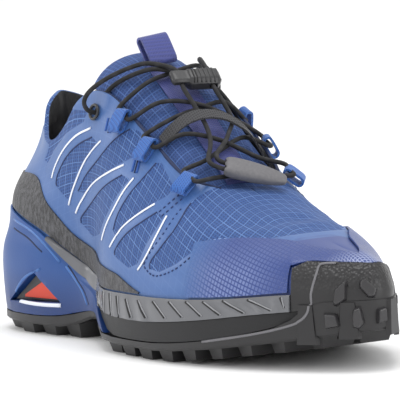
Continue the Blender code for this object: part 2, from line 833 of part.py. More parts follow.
def make_cradle():
    def foot(x):
        return rubber_edge(x) + GAP

    def top(x):
        return low_edge(x) - GAP

    def between(side, i, up, depth_at):
        """Point on the line from the rubber to the rim at one station, a share of the way up."""
        low, high = (joined_station(side, i, level, 2 * SLIP) for level in (0.0, 1.0))
        bottom = ring_point(side, low, depth_at(low), foot)
        return bottom.lerp(ring_point(side, high, depth_at(high), top), up)

    def cradle_section(side, i):
        points = []
        waist = min(STOPS[i] / BAND_START, 1) ** 2
        for waist_share, heel_share, taper in CRADLE_LEVELS:
            up = heel_share + (waist_share - heel_share) * waist
            points.append(between(side, i, up, lambda share, taper=taper:
                                  taper * max(rim_depth(share) - FLANGE_THICKNESS, RUBBER_INSET)))
        plan, _ = edge_point(side, STOPS[i], rim_depth(STOPS[i]))
        x = plan[0]
        points.append(between(side, i, 1.0, lambda share: wall_depth(share, x, top(x)) - 2 * GAP))
        bend = min((bed(x) - foot(x)) / (top(x) - foot(x)), 0.5)
        for up in (bend, 0.0):
            points.append(between(side, i, up, lambda share: foot_depth(share) - 2 * GAP))
        return points

    stops = [("medial", i) for i in range(CRADLE_STATION, 0, -1)]
    stops += [("lateral", i) for i in range(CRADLE_STATION + 1)]
    made = sweep("heel_cradle", [cradle_section(side, i) for side, i in stops], foam_blue())
    for side in ("lateral", "medial"):
        combine(made, window_prism(side, "window_" + side, 0.0, WINDOW_DEPTH, CUTTERS), "DIFFERENCE")
    return made


WINDOW = (
    # along, height as a share of the heel stack
    (0.176, 0.90), (0.092, 0.44), (0.245, 0.50),
)


def window_prism(side, name, shrink, floor, home):
    """Three-cornered prism let into the cradle's side; its floor lies a depth below the surface."""
    corners = np.array([((near - 0.5) * SHOE_LENGTH, HEEL_STACK * height) for near, height in WINDOW])
    middle = corners.mean(axis=0)
    sections = []
    for layer in (0, 1):
        loop = []
        for corner in corners:
            x, z = corner + (middle - corner) * shrink
            outer, inner = half_widths(x)
            edge = outer if side == "lateral" else inner
            if layer:
                depth = floor
            else:
                depth = floor - INSET_THICKNESS if home is None else -0.01
            loop.append(Vector((x, edge - OUTWARD[side] * depth, z)))
        sections.append(loop)
    return sweep(name, sections, film_red(), home)


def make_inset(side):
    """Plate on the floor of the window."""
    return window_prism(side, "heel_inset_" + side, 0.12, WINDOW_DEPTH - GAP, None)


def on_seat(side, share, depth):
    """Lower edge of a rim, along the facets of the foam it sits on."""
    stops = [joined_station(side, i, 1.0, SLIP) for i in range(STATIONS + 1)]
    before, after, part = facet(share, stops)
    heights = [ring_point(side, each, depth, low_edge).z for each in (before, after)]
    place = ring_point(side, share, depth, low_edge)
    place.z = heights[0] + (heights[1] - heights[0]) * part
    return place


def inner_low(side, share):
    """Lower inner corner of a rim: it lies on the upper, or on the core below the foot bed."""
    plan, _ = edge_point(side, share, rim_depth(share))
    return on_seat(side, share, wall_depth(share, plan[0], low_edge(plan[0])) - 1.5 * GAP)


# Ribbed rims: one on each side, from a point behind the arch to the toe bumper
def make_band(side):
    ribs = RIB_COUNT
    end = BUMPER_START[side] - 2 * GAP / 0.33
    span = end - BAND_START
    fractions = []
    for rib in range(ribs):
        for part in (0.0, 0.3):
            fractions.append(((rib + part) / ribs, part > 0))
    fractions.append((1.0, False))
    sections = []
    for fraction, groove in fractions:
        share = BAND_START + span * fraction
        slant = 0.035 * min(max(fraction * 1.6 - 0.4, 0), 1) * min((1 - fraction) * 6, 1)
        low_share = min(share + slant, end)
        cut = RIB_GROOVE * min(fraction * 5, 1) if groove else 0
        mid = RUBBER_INSET
        sections.append([
            on_seat(side, low_share, mid * 0.4 + cut),
            ring_point(side, share, mid * 0.9 + cut, lambda x: rim(x) - (rim(x) - low_edge(x)) * 0.18),
            ring_point(side, share, min(mid * 1.6 + cut, rim_depth(share) - 3 * GAP), rim),
            ring_point(side, share, rim_depth(share) - 2 * GAP, rim),
            inner_low(side, low_share),
        ])
    return sweep("rib_band_" + side, sections, rim_grey())


def make_insole():
    def ring(depth, lift):
        return lambda side, i: ring_point(side, STOPS[i], foot_depth(STOPS[i]) + WALL + depth,
                                          lambda x: bed(x) + GAP + lift)
    return slab("insole", (ring(5 * GAP, 0.0), ring(4 * GAP, INSOLE_THICKNESS)), lining_dark())


# Upper: one textile shell from the foot bed to the collar, throat and toe
def make_upper():
    def build(body):
        for side in ("lateral", "medial"):
            grid = [[body.verts.new(wall_point(side, share, up)) for up in LEVELS]
                    for share in STOPS]
            for here, there in zip(grid, grid[1:]):
                for k in range(len(LEVELS) - 1):
                    body.faces.new([here[k], there[k], there[k + 1], here[k + 1]])
    mesh = mesh_from("upper", build)
    made = add_object("upper", mesh, cloth_blue())
    face_out(mesh)
    shell = made.modifiers.new("wall", "SOLIDIFY")
    shell.thickness = WALL
    shell.offset = -1
    shell.use_even_offset = True
    return shaded(made, 60)


def face_out(mesh):
    """Turns an open shell so that its faces point away from the foot."""
    body = bmesh.new()
    body.from_mesh(mesh)
    body.faces.ensure_lookup_table()
    lowest = max(body.faces, key=lambda face: abs(face.calc_center_median().y))
    if lowest.normal.y * lowest.calc_center_median().y < 0:
        bmesh.ops.reverse_faces(body, faces=body.faces)
    body.to_mesh(mesh)
    body.free()


RAND_TOP = (
    # share round the side, height as a share of the instep height
    (0.00, 0.62), (0.12, 0.62), (0.20, 0.63), (0.225, 0.60), (0.26, 0.50), (0.275, 0.505), (0.31, 0.41),
    (0.325, 0.42), (0.37, 0.35), (0.385, 0.365), (0.45, 0.325), (0.47, 0.335), (0.53, 0.30),
    (0.545, 0.305), (0.60, 0.275),
)


def overlay_sheet(name, run, limits, clearance, finish):
    """Film on the upper between a lower and an upper limit, following the corners of its facets."""
    spans = [limits(*stop) for stop in run]
    used = [row for row in LEVELS if min(low for low, _ in spans) < row < max(high for _, high in spans)]

    def point(row, stop, layer):
        side, share = run[int(stop)]
        low, high = spans[int(stop)]
        return Vector(skin(side, share, min(max(row, low), high), clearance + OVERLAY * layer))
    return sheet(name, point, [0.0] + used + [1.0], range(len(run)), finish)


def just_above_rim(side, share):
    return up_at_height(side, share, wall_point(side, share, 0)[2] + OVERLAY)


def make_rand():
    """Textured strip on the upper just above the sole, round the heel and along both sides."""
    stops = [share for share in STOPS if share <= RAND_TOP[-1][0]]
    run = [("medial", share) for share in reversed(stops[1:])] + [("lateral", share) for share in stops]
    keys = [row[0] for row in RAND_TOP]
    tops = [row[1] for row in RAND_TOP]

    def limits(side, share):
        low = just_above_rim(side, share)
        return low, max(up_at_height(side, share, INSTEP_HEIGHT * float(np.interp(share, keys, tops))),
                        low + OVERLAY / WALL / RISERS)
    return overlay_sheet("side_rand", run, limits, 1.2 * GAP, rand_grey())


def make_toe_guard():
    """Film over the toe box, from rim to rim, stopping at the bumper's edge."""
    run = []
    for side, start in BUMPER_START.items():
        step = start - 2 * SLIP
        marks = sorted({share for share in STOPS if share >= TOE_FILM_START} | {step, step - SLIP})
        run.append([(side, share) for share in marks])
    lateral, medial = run
    run = lateral + medial[-2::-1]

    def limits(side, share):
        start = BUMPER_START[side]
        low = just_above_rim(side, share)
        if share > start - 2.5 * SLIP:
            low = bumper_top(side, max(share, start)) + TOE_FILM_MARGIN
        edge = TOE_FILM_RISE * (1 + min((share - TOE_FILM_START) / 0.2, 1))
        return low, max(edge, low + TOE_FILM_MARGIN)
    return overlay_sheet("toe_guard", run, limits, 3 * GAP, film_violet())


# Tongue: lies under the edges of the throat, bridges it in an arch and rises above the collar
@lru_cache(maxsize=None)
def tongue_row(share):
    """Dense line across the foot under both edges of the throat, from the outer to the inner side."""
    under = -(WALL + 2.5 * GAP)
    laps = {side: [skin(side, share, 0.40 + 0.60 * k / 12, under) for k in range(13)]
            for side in ("lateral", "medial")}
    left, right = laps["lateral"][-1], laps["medial"][-1]
    span = np.linalg.norm(right - left)
    pull = {side: (laps[side][-1] - laps[side][-2]) / np.linalg.norm(laps[side][-1] - laps[side][-2])
            for side in laps}
    handle = span * np.interp(share, (THROAT_START, ARCH_LOW_SHARE), (ARCH_TOP, ARCH_LOW))
    bridge = []
    for t in np.linspace(0, 1, 17)[1:-1]:
        a, b = 2 * t ** 3 - 3 * t ** 2 + 1, t ** 3 - 2 * t ** 2 + t
        c, d = 3 * t ** 2 - 2 * t ** 3, t ** 3 - t ** 2
        bridge.append(left * a + pull["lateral"] * b * handle + right * c - pull["medial"] * d * handle)
    line = np.array(laps["lateral"] + (bridge if span > 0.002 else []) + laps["medial"][::-1])
    run = np.append(0, np.cumsum(np.linalg.norm(np.diff(line, axis=0), axis=1)))
    middle = (run[12] + run[-13]) / 2
    return line, run - middle


def tongue_surface(reach, across):
    """Front of the tongue: reach 0 at its foot, 1 at the collar, beyond that above it; across -1 to 1."""
    share = TONGUE_FOOT + (THROAT_START - TONGUE_FOOT) * min(max(reach, 0), 1)
    line, run = tongue_row(round(share, 6))
    half = TONGUE_HALF_WIDTH * tongue_half(reach)
    place = across * half
    point = np.array([np.interp(place, run, line[:, k]) for k in range(3)])
    if reach > 1:
        behind = tongue_surface(0.97, 0)
        here = tongue_surface(1.0, 0)
        point = point + (here - behind) / np.linalg.norm(here - behind) * (reach - 1) * SHOE_LENGTH
        point[2] -= abs(across) ** 3 * (reach - 1) * SHOE_LENGTH * TONGUE_CORNER
    return point


def tongue_half(reach):
    """Half width of the tongue at a reach, as a share of its widest."""
    reaches = (0.0, 0.25, 0.6, 1.0, 1.0 + TONGUE_RISE / SHOE_LENGTH)
    return float(np.interp(reach, reaches, (0.62, 0.95, 1.0, 0.98, 0.86)))


def tongue_point(reach, across, off):
    """Front of the tongue moved out by off."""
    step = 0.02
    top = 1.0 + TONGUE_RISE / SHOE_LENGTH
    ahead, behind = max(reach - step, 0), min(reach + step, top)
    lengthwise = tongue_surface(behind, across) - tongue_surface(ahead, across)
    sideways = tongue_surface(reach, min(across + step, 1)) - tongue_surface(reach, max(across - step, -1))
    normal = np.cross(sideways, lengthwise)
    normal /= np.linalg.norm(normal)
    if normal[2] < 0:
        normal = -normal
    return tongue_surface(reach, across) + normal * off


def make_tongue():
    top = 1.0 + TONGUE_RISE / SHOE_LENGTH
    rows = [k / 11 for k in range(12)] + [1 + (top - 1) * k / 2 for k in (1, 2)]
    across = [-1, -0.8, -0.55, -0.28, 0, 0.28, 0.55, 0.8, 1]
    return sheet("tongue", lambda u, v, layer: Vector(tongue_point(v, u, -TONGUE_THICKNESS * (1 - layer))),
                 across, rows, cloth_blue())


def half_label(reach):
    return LABEL_WIDTH / 2 / (TONGUE_HALF_WIDTH * tongue_half(reach))


def make_label():
    rows = np.linspace(*LABEL_RUN, 10)

    def point(u, v, layer):
        return Vector(tongue_point(v, u * half_label(v), GAP + OVERLAY * layer))
    return sheet("tongue_label", point, (-1, 0, 1), rows, ribbon_navy())


STRAP = (
    # across the tongue, reach along it, height above it in lace diameters
    (-0.72, 0.600, 0.15), (-0.60, 0.606, 0.40), (-0.50, 0.606, 1.10), (-0.42, 0.606, 1.90),
    (-0.15, 0.604, 3.00),
    (0.15, 0.590, 3.15), (0.42, 0.520, 3.00), (0.60, 0.455, 1.20), (0.74, 0.415, 0.15),
)


def make_strap():
    """Elastic that crosses the tongue over the label and the lace ends."""
    reach, lift = (smooth_table(STRAP, column) for column in (1, 2))
    stops = np.linspace(STRAP[0][0], STRAP[-1][0], 15)

    def point(u, v, layer):
        return Vector(tongue_point(reach(v) + u * STRAP_WIDTH / 2 / TONGUE_LENGTH, v,
                                   lift(v) * LACE_DIAMETER + RIBBON * layer))
    return sheet("tongue_strap", point, (-1, 1), stops, cord_grey())


# Ribbon loops, sewn to the edge of the throat, that the lace runs through
def loop_frame(side, share, up, off):
    """Place and directions on the upper: up the wall, out of it, and along the edge."""
    place = skin(side, share, up, off)
    rise = Vector(wall_point(side, share, up) - wall_point(side, share, up - 0.05)).normalized()
    out = Vector(wall_normal(side, share, up)).normalized()
    edge = rise.cross(out).normalized()
    return Vector(place), rise, out, edge


def ribbon_loop(name, origin, rise, out, edge, length, height, width, finish):
    """Flattened ring of ribbon lying along rise, with its opening along edge."""
    profile = []
    for inset in (0, RIBBON):
        radius = height / 2 - inset
        half = length / 2 - height / 2
        ring = []
        for centre, first in ((half, -90), (-half, 90)):
            for step in range(6):
                angle = radians(first + 36 * step)
                ring.append((centre + radius * cos(angle), height / 2 + radius * sin(angle)))
        profile.append(ring)

    def build(body):
        corners = {}
        for k in range(12):
            for layer in (0, 1):
                x, z = profile[layer][k]
                for end in (-0.5, 0.5):
                    place = origin + rise * x + out * z + edge * (width * end)
                    corners[k, layer, end] = body.verts.new(place)
        for k in range(12):
            n = (k + 1) % 12
            for layer in (0, 1):
                body.faces.new([corners[k, layer, -0.5], corners[n, layer, -0.5],
                                corners[n, layer, 0.5], corners[k, layer, 0.5]])
            for end in (-0.5, 0.5):
                body.faces.new([corners[k, 0, end], corners[n, 0, end],
                                corners[n, 1, end], corners[k, 1, end]])
    return add_object(name, mesh_from(name, build), finish)


def make_loops():
    for side in ("lateral", "medial"):
        for number, share in enumerate(LOOP_SHARES[side], 1):
            origin, rise, out, edge = loop_frame(side, share, 0.97, LOOP_SEATS[number - 1] * GAP)
            ribbon_loop(f"webbing_loop_{side}_{number}", origin - rise * LOOP_LENGTH * 0.22, rise, out, edge,
                        LOOP_LENGTH, LOOP_HEIGHT, LOOP_WIDTH, ribbon_blue())


def make_eyelets():
    """Metal rings set on the front corners of the quarters."""
    for side in ("lateral", "medial"):
        place, _, out, _ = loop_frame(side, EYELET_SHARE[side], EYELET_UP, GAP + EYELET_WIRE)
        bpy.ops.mesh.primitive_torus_add(major_radius=EYELET_RADIUS, minor_radius=EYELET_WIRE,
                                         major_segments=14, minor_segments=5, location=place,
                                         rotation=out.to_track_quat("Z", "Y").to_euler())
        made = bpy.context.active_object
        made.name = "eyelet_" + side
        for home in list(made.users_collection):
            home.objects.unlink(made)
        COLLECTION.objects.link(made)
        made.data.materials.append(plastic_grey())


def cord(name, points, finish, home=None):
    """Round cord through points."""
    line = bpy.data.curves.new(name, "CURVE")
    line.dimensions = "3D"
    line.bevel_depth = LACE_DIAMETER / 2
    line.bevel_resolution = 2
    line.use_fill_caps = True
    spline = line.splines.new("POLY")
    spline.points.add(len(points) - 1)
    for slot, point in zip(spline.points, points):
        slot.co = (*point, 1)
    line.materials.append(finish)
    made = bpy.data.objects.new(name, line)
    (home or COLLECTION).objects.link(made)
    return made


def as_mesh(made):
    """Turns a cord into a closed mesh with welded caps."""
    graph = bpy.context.evaluated_depsgraph_get()
    mesh = bpy.data.meshes.new_from_object(made.evaluated_get(graph))
    body = bmesh.new()
    body.from_mesh(mesh)
    bmesh.ops.remove_doubles(body, verts=body.verts, dist=0.00001)
    bmesh.ops.recalc_face_normals(body, faces=body.faces)
    body.to_mesh(mesh)
    body.free()
    name = made.name
    matrix = made.matrix_world.copy()
    finish = made.data.materials[0]
    bpy.data.objects.remove(made, do_unlink=True)
    solid = add_object(name, mesh, finish)
    solid.matrix_world = matrix
    return solid


def loop_reach(side, number):
    """Where on the tongue a loop's mouth lies: reach and across."""
    share = LOOP_SHARES[side][number]
    return (TONGUE_FOOT - share) / (TONGUE_FOOT - THROAT_START)


def crossing(from_side, start, to_side, stop, lift):
    """Points of a lace run over the tongue, raised clear of the throat's edges at both ends."""
    first, last = OUTWARD[from_side] * 0.66, OUTWARD[to_side] * 0.66
    points = []
    for t in np.linspace(0, 1, 7):
        across = first + (last - first) * t
        reach = start + (stop - start) * t
        height = LACE_DIAMETER / 2 + GAP + lift * sin(pi * t) + (WALL + LOOP_HEIGHT * 0.3) * (1 - sin(pi * t))
        points.append(tongue_point(reach, across, height))
    return points


def make_laces():
    """Crossed runs between the loops, each pair one joined solid, and the straight bar at the foot."""
    over = OVERLAY + GAP
    mouths = {side: [loop_reach(side, number) for number in range(3)] for side in OUTWARD}
    runs = {
        # name: reach at the outer and the inner end of each of its two runs
        "lace_cross_low": ((mouths["lateral"][2] + 0.02, mouths["medial"][1] - 0.02),
                           (mouths["lateral"][1] - 0.02, mouths["medial"][2] + 0.02)),
        "lace_cross_middle": ((mouths["lateral"][1] + 0.02, mouths["medial"][0] - 0.02),
                              (mouths["lateral"][0] - 0.02, mouths["medial"][1] + 0.02)),
        "lace_cross_top": ((mouths["lateral"][0] + 0.03, RING_REACH),
                           (RING_REACH, mouths["medial"][0] + 0.03)),
    }
    for name, (first, second) in runs.items():
        made = as_mesh(cord(name, crossing("lateral", first[0], "medial", first[1], over), cord_grey()))
        crossed = cord(name + "_over", crossing("lateral", second[0], "medial", second[1], over), cord_grey())
        combine(made, as_mesh(crossed), "UNION")
    low, high = mouths["lateral"][2] - 0.05, mouths["medial"][2] - 0.05
    cord("lace_bar", crossing("lateral", low, "medial", high, over), cord_grey())


def make_pull_loop():
    """Ribbon loop that stands on the front of the tongue, just below its top."""
    foot = Vector(tongue_point(PULL_REACH, 0, PULL_LIFT))
    rise = Vector(PULL_LEAN).normalized()
    edge = Vector((0, 1, 0))
    edge = (edge - rise * edge.dot(rise)).normalized()
    out = edge.cross(rise)
    return ribbon_loop("pull_loop", foot + rise * PULL_LENGTH / 2 - out * PULL_HEIGHT / 2, rise, out, edge,
                       PULL_LENGTH, PULL_HEIGHT, PULL_WIDTH, ribbon_navy())


def block(name, centre, axes, size, finish, home=None):
    """Box with rounded edges along three given axes."""
    def build(body):
        corners = {}
        for key in np.ndindex(2, 2, 2):
            place = centre.copy()
            for axis, length, end in zip(axes, size, key):
                place += axis * length * (end - 0.5)
            corners[key] = body.verts.new(place)
        for axis in range(3):
            others = [k for k in range(3) if k != axis]
            for end in (0, 1):
                loop = []
                for a, b in ((0, 0), (1, 0), (1, 1), (0, 1)):
                    key = [0, 0, 0]
                    key[axis], key[others[0]], key[others[1]] = end, a, b
                    loop.append(corners[tuple(key)])
                body.faces.new(loop)
        bmesh.ops.recalc_face_normals(body, faces=body.faces)
        bmesh.ops.bevel(body, geom=list(body.edges), offset=min(size) * BLOCK_BEVEL, segments=1,
                        profile=0.5, affect="EDGES")
    return add_object(name, mesh_from(name, build), finish, home)


def bore(name, start, end):
    """Cutter for a cord to pass through."""
    line = (end - start).normalized()
    side = line.orthogonal().normalized()
    across = line.cross(side)
    radius = (LACE_DIAMETER / 2 + GAP) / cos(pi / BORE_SIDES)
    turns = [2 * pi * k / BORE_SIDES for k in range(BORE_SIDES)]
    sections = [[place + (side * cos(turn) + across * sin(turn)) * radius for turn in turns]
                for place in (start, end)]
    return sweep(name, sections, None, CUTTERS)


def over_tongue(reach, across, height):
    return Vector(tongue_point(reach, across, height))



def lock_axes():
    """Directions of the lock: across the foot, along the lace and out of the tongue."""
    reach, across, _ = LOCK_PLACE
    along_lace = over_tongue(reach + 0.05, across, 0) - over_tongue(reach - 0.05, across, 0)
    sideways = over_tongue(reach, STRANDS["medial"], 0) - over_tongue(reach, STRANDS["lateral"], 0)
    out = sideways.cross(along_lace).normalized()
    if out.z < 0:
        out = -out
    sideways.normalize()
    return sideways, out.cross(sideways).normalized(), out


def lock_ports(side):
    """Where a strand enters and leaves the lock, at its lace holes."""
    sideways, lengthwise, _ = lock_axes()
    centre = over_tongue(*LOCK_PLACE)
    offset = sideways * (STRANDS[side] - LOCK_PLACE[1]) * TONGUE_HALF_WIDTH
    reach_out = lengthwise * (LOCK_WIDTH / 2 + LACE_DIAMETER)
    upper, lower = centre + offset + reach_out, centre + offset - reach_out
    return (upper, lower) if upper.x < lower.x else (lower, upper)


def make_lock():
    """Sliding cord lock: a barrel with a flat lever, bored for the two strands."""
    centre = over_tongue(*LOCK_PLACE)
    sideways, lengthwise, out = lock_axes()
    axes = (sideways, lengthwise, out)
    barrel = block("lace_lock", centre + sideways * LOCK_LENGTH * 0.14, axes,
                   (LOCK_LENGTH * 0.76, LOCK_WIDTH, LOCK_HEIGHT), plastic_grey())
    lever = block("lock_lever", centre - sideways * LOCK_LENGTH * 0.33 + out * LOCK_HEIGHT * 0.15, axes,
                  (LOCK_LENGTH * 0.42, LOCK_WIDTH * 0.8, LOCK_HEIGHT * 0.5), plastic_grey())
    combine(barrel, lever, "UNION")
    for side in STRANDS:
        combine(barrel, bore("lock_bore_" + side, *lock_ports(side)), "DIFFERENCE")
    return barrel


def toggle_axes():
    lengthwise = (TOGGLE_END - TOGGLE_START).normalized()
    out = Vector(tongue_point(0.3, 0, 0.001)) - Vector(tongue_point(0.3, 0, 0))
    sideways = out.cross(lengthwise).normalized()
    return lengthwise, sideways, lengthwise.cross(sideways)


def toggle_port(side):
    """Mouth of a strand's hole in the toggle."""
    _, sideways, _ = toggle_axes()
    offset = TOGGLE_WIDTH * 0.19
    return TOGGLE_START + sideways * (offset if side == "medial" else -offset)


def make_toggle():
    """Moulded pull tab, rounded at both ends, that holds both lace ends."""
    lengthwise, sideways, out = toggle_axes()
    size = (TOGGLE_LENGTH, TOGGLE_WIDTH, TOGGLE_HEIGHT)
    centre = TOGGLE_START + lengthwise * TOGGLE_LENGTH / 2
    made = block("lace_toggle", centre, (lengthwise, sideways, out), size, plastic_grey())
    for side in STRANDS:
        mouth = toggle_port(side)
        combine(made, bore("toggle_bore_" + side, mouth - lengthwise * LACE_DIAMETER,
                           mouth + lengthwise * (TOGGLE_SOCKET + 2 * GAP)), "DIFFERENCE")
    return made


def smooth_path(points, per_span):
    """Points on a smooth open curve through the given ones."""
    ends = [points[0] * 2 - points[1]] + list(points) + [points[-1] * 2 - points[-2]]
    made = []
    for a, b, c, d in zip(ends, ends[1:], ends[2:], ends[3:]):
        for step in range(per_span):
            t = step / per_span
            made.append(0.5 * (2 * b + (c - a) * t + (2 * a - 5 * b + 4 * c - d) * t ** 2
                               + (3 * b - a - 3 * c + d) * t ** 3))
    return made + [points[-1]]


# Where each lace end turns in towards the lock: reach, and how far outside its lace hole
STRAND_TURN = {"lateral": (0.895, 0.16), "medial": (0.905, 0.10)}

# Run of each lace end down the tongue, from below the lock to the toggle
RUN_DOWN = {
    # reach, across, height in strand heights
    "lateral": ((0.60, -0.09, 1.00), (0.50, -0.16, 1.00), (0.43, -0.30, 1.10), (0.375, -0.42, 1.30)),
    "medial": ((0.60, 0.36, 1.00), (0.53, 0.20, 1.00), (0.46, 0.00, 1.05), (0.405, -0.20, 1.25)),
}


def make_lace_ends():
    """One strand from each top ring over the tongue, through the lock, under the strap, into the toggle."""
    lengthwise, _, _ = toggle_axes()
    for side, across in STRANDS.items():
        ring, _, out, _ = loop_frame(side, EYELET_SHARE[side], EYELET_UP, GAP + EYELET_WIRE)
        upper, lower = lock_ports(side)
        outward = OUTWARD[side]
        points = [ring, ring + out * LACE_DIAMETER * 1.4]
        points.append(Vector(skin(side, EYELET_SHARE[side], 1.0, LACE_DIAMETER * 1.5)))
        points.append(over_tongue(0.940, outward * 0.60, LACE_DIAMETER * 1.25))
        reach, aside = STRAND_TURN[side]
        points.append(over_tongue(reach, across + outward * aside, STRAND_HEIGHT))
        down = [lower]
        down += [over_tongue(reach, place, height * STRAND_HEIGHT) for reach, place, height in RUN_DOWN[side]]
        mouth = toggle_port(side)
        down.append(mouth - lengthwise * LACE_DIAMETER * 1.3)
        route = smooth_path(points + [upper], 2) + smooth_path(down, 2) + [mouth + lengthwise * TOGGLE_SOCKET]
        cord("lace_end_" + side, route, cord_grey())


PARTS = (make_outsole, make_core, make_cradle, make_insole, make_upper, make_rand, make_toe_guard,
         make_tongue, make_label, make_strap, make_pull_loop, make_loops, make_eyelets, make_laces,
         make_lock, make_toggle, make_lace_ends)
for make in PARTS:
    make()
for each_side in ("lateral", "medial"):
    make_inset(each_side)
    make_band(each_side)
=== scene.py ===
from math import cos, pi, radians, sin

import bmesh
import bpy
import numpy as np
from mathutils import Matrix, Vector
from mathutils.bvhtree import BVHTree


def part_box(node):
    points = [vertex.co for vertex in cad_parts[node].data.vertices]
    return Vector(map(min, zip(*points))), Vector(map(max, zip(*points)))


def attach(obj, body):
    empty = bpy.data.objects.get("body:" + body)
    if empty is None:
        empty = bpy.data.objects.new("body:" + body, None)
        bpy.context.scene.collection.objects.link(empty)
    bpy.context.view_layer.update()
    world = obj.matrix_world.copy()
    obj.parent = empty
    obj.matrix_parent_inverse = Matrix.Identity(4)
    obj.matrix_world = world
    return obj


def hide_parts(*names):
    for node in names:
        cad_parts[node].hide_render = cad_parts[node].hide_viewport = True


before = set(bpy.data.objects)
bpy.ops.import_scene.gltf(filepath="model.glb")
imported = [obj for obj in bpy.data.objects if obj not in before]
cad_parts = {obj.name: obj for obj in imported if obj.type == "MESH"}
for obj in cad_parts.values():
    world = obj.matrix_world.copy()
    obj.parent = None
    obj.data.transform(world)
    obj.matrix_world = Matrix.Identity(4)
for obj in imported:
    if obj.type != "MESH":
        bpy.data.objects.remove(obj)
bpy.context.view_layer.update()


# The photographer's set: a long lens low over the outer front corner of the shoe,
# a white sweep to stand on, and large soft boxes overhead and at both sides.
MM = 0.001
PHOTO_SIDE = 400
FOCAL_PIXELS = 6184.5
SENSOR = 36
TARGET = Vector((-1.48, -1.09, 70.115)) * MM
DISTANCE = 3.0
AZIMUTH, ELEVATION, ROLL = radians(58.057), radians(6.527), radians(-2.568)

camera_back = Vector((sin(AZIMUTH) * cos(ELEVATION), -cos(AZIMUTH) * cos(ELEVATION),
                      sin(ELEVATION)))
camera_place = TARGET + camera_back * DISTANCE
level_right = Vector((0, 0, 1)).cross(camera_back).normalized()
level_up = camera_back.cross(level_right)
camera_right = level_right * cos(ROLL) + level_up * sin(ROLL)
camera_up = camera_back.cross(camera_right)

bpy.ops.object.select_all(action="DESELECT")
bpy.ops.object.camera_add(location=camera_place)
camera = bpy.context.active_object
camera.data.lens = FOCAL_PIXELS / PHOTO_SIDE * SENSOR
camera.data.sensor_width = SENSOR
camera.data.clip_end = 20
turn = [camera_right, camera_up, camera_back]
camera.matrix_world = Matrix([[*(axis[k] for axis in turn), camera_place[k]] for k in range(3)]
                             + [[0, 0, 0, 1]])
bpy.context.scene.camera = camera


def linear(colour):
    """sRGB hex to the linear values that a shader takes."""
    shares = [int(colour[k:k + 2], 16) / 255 for k in (1, 3, 5)]
    return [v / 12.92 if v <= 0.04045 else ((v + 0.055) / 1.055) ** 2.4 for v in shares] + [1]


def feed(tree, sockets, values):
    """Gives sockets their values: a number, a hex colour or another node's output."""
    for key, value in values.items():
        if isinstance(value, bpy.types.NodeSocket):
            tree.links.new(value, sockets[key])
        else:
            sockets[key].default_value = linear(value) if isinstance(value, str) else value


def shade(finish, **values):
    """Sets or links sockets of a material's shader."""
    tree = finish.node_tree
    feed(tree, tree.nodes["Principled BSDF"].inputs,
         {key.replace("_", " "): value for key, value in values.items()})


def material(name, colour, roughness, ior=1.5, **values):
    """A material with nothing but its shader's own values; nodes come to it afterwards."""
    made = bpy.data.materials.new(name)
    made.use_nodes = True
    shade(made, Base_Color=colour, Roughness=roughness, IOR=ior, **values)
    return made


FLOOR_SIDE, FLOOR_DROP = 6, 0.2 * MM
bpy.ops.mesh.primitive_plane_add(size=FLOOR_SIDE, location=(0, 0, -FLOOR_DROP))
floor = bpy.context.active_object
floor.name = "studio_floor"
floor.data.transform(floor.matrix_world)
floor.matrix_world.identity()
floor.data.materials.append(material("white painted board, matt", "#FBFBFB", 0.7))

SOFT_BOXES = {
    # place in metres, side in metres, watts
    "overhead": ((0.1, 0.0, 1.5), 0.9, 9),
    "outer side": ((0.5, -1.4, 0.8), 0.6, 2),
    "toe side": ((1.4, 0.5, 0.5), 0.5, 4),
    "heel side": ((-1.1, -0.9, 0.6), 0.4, 3),
}
for name, (place, side, power) in SOFT_BOXES.items():
    bpy.ops.object.light_add(type="AREA", location=place)
    light = bpy.context.active_object
    light.name = "soft box " + name
    light.data.size = side
    light.data.energy = power
    light.rotation_euler = (Vector(place) - TARGET).to_track_quat("Z", "Y").to_euler()
world = bpy.data.worlds.new("white studio")
bpy.context.scene.world = world
world.use_nodes = True
feed(world.node_tree, world.node_tree.nodes["Background"].inputs,
     {"Color": "#FFFFFF", "Strength": 1.0})
bpy.context.scene.view_settings.view_transform = "Standard"


# The two lace ends: round braided polyester cord, each out of a top ring, over the tongue, through
# the cord lock, under the strap and into the pull tab, where both are held.
LACE = 2.3 * MM
LACE_SIDES = 10


def smooth_route(points, per_span):
    """Points on a smooth open curve through the given ones."""
    given = [Vector(p) for p in points]
    ends = [given[0] * 2 - given[1]] + given + [given[-1] * 2 - given[-2]]
    made = []
    for a, b, c, d in zip(ends, ends[1:], ends[2:], ends[3:]):
        for step in range(per_span):
            t = step / per_span
            made.append(0.5 * (2 * b + (c - a) * t + (2 * a - 5 * b + 4 * c - d) * t ** 2
                               + (3 * b - a - 3 * c + d) * t ** 3))
    return made + [given[-1]]


def finished(body, name, finish):
    """The object of a modelled body, its faces turned outwards, in its finish."""
    bmesh.ops.recalc_face_normals(body, faces=body.faces)
    mesh = bpy.data.meshes.new(name)
    body.to_mesh(mesh)
    body.free()
    mesh.materials.append(finish)
    piece = bpy.data.objects.new(name, mesh)
    bpy.context.scene.collection.objects.link(piece)
    return piece


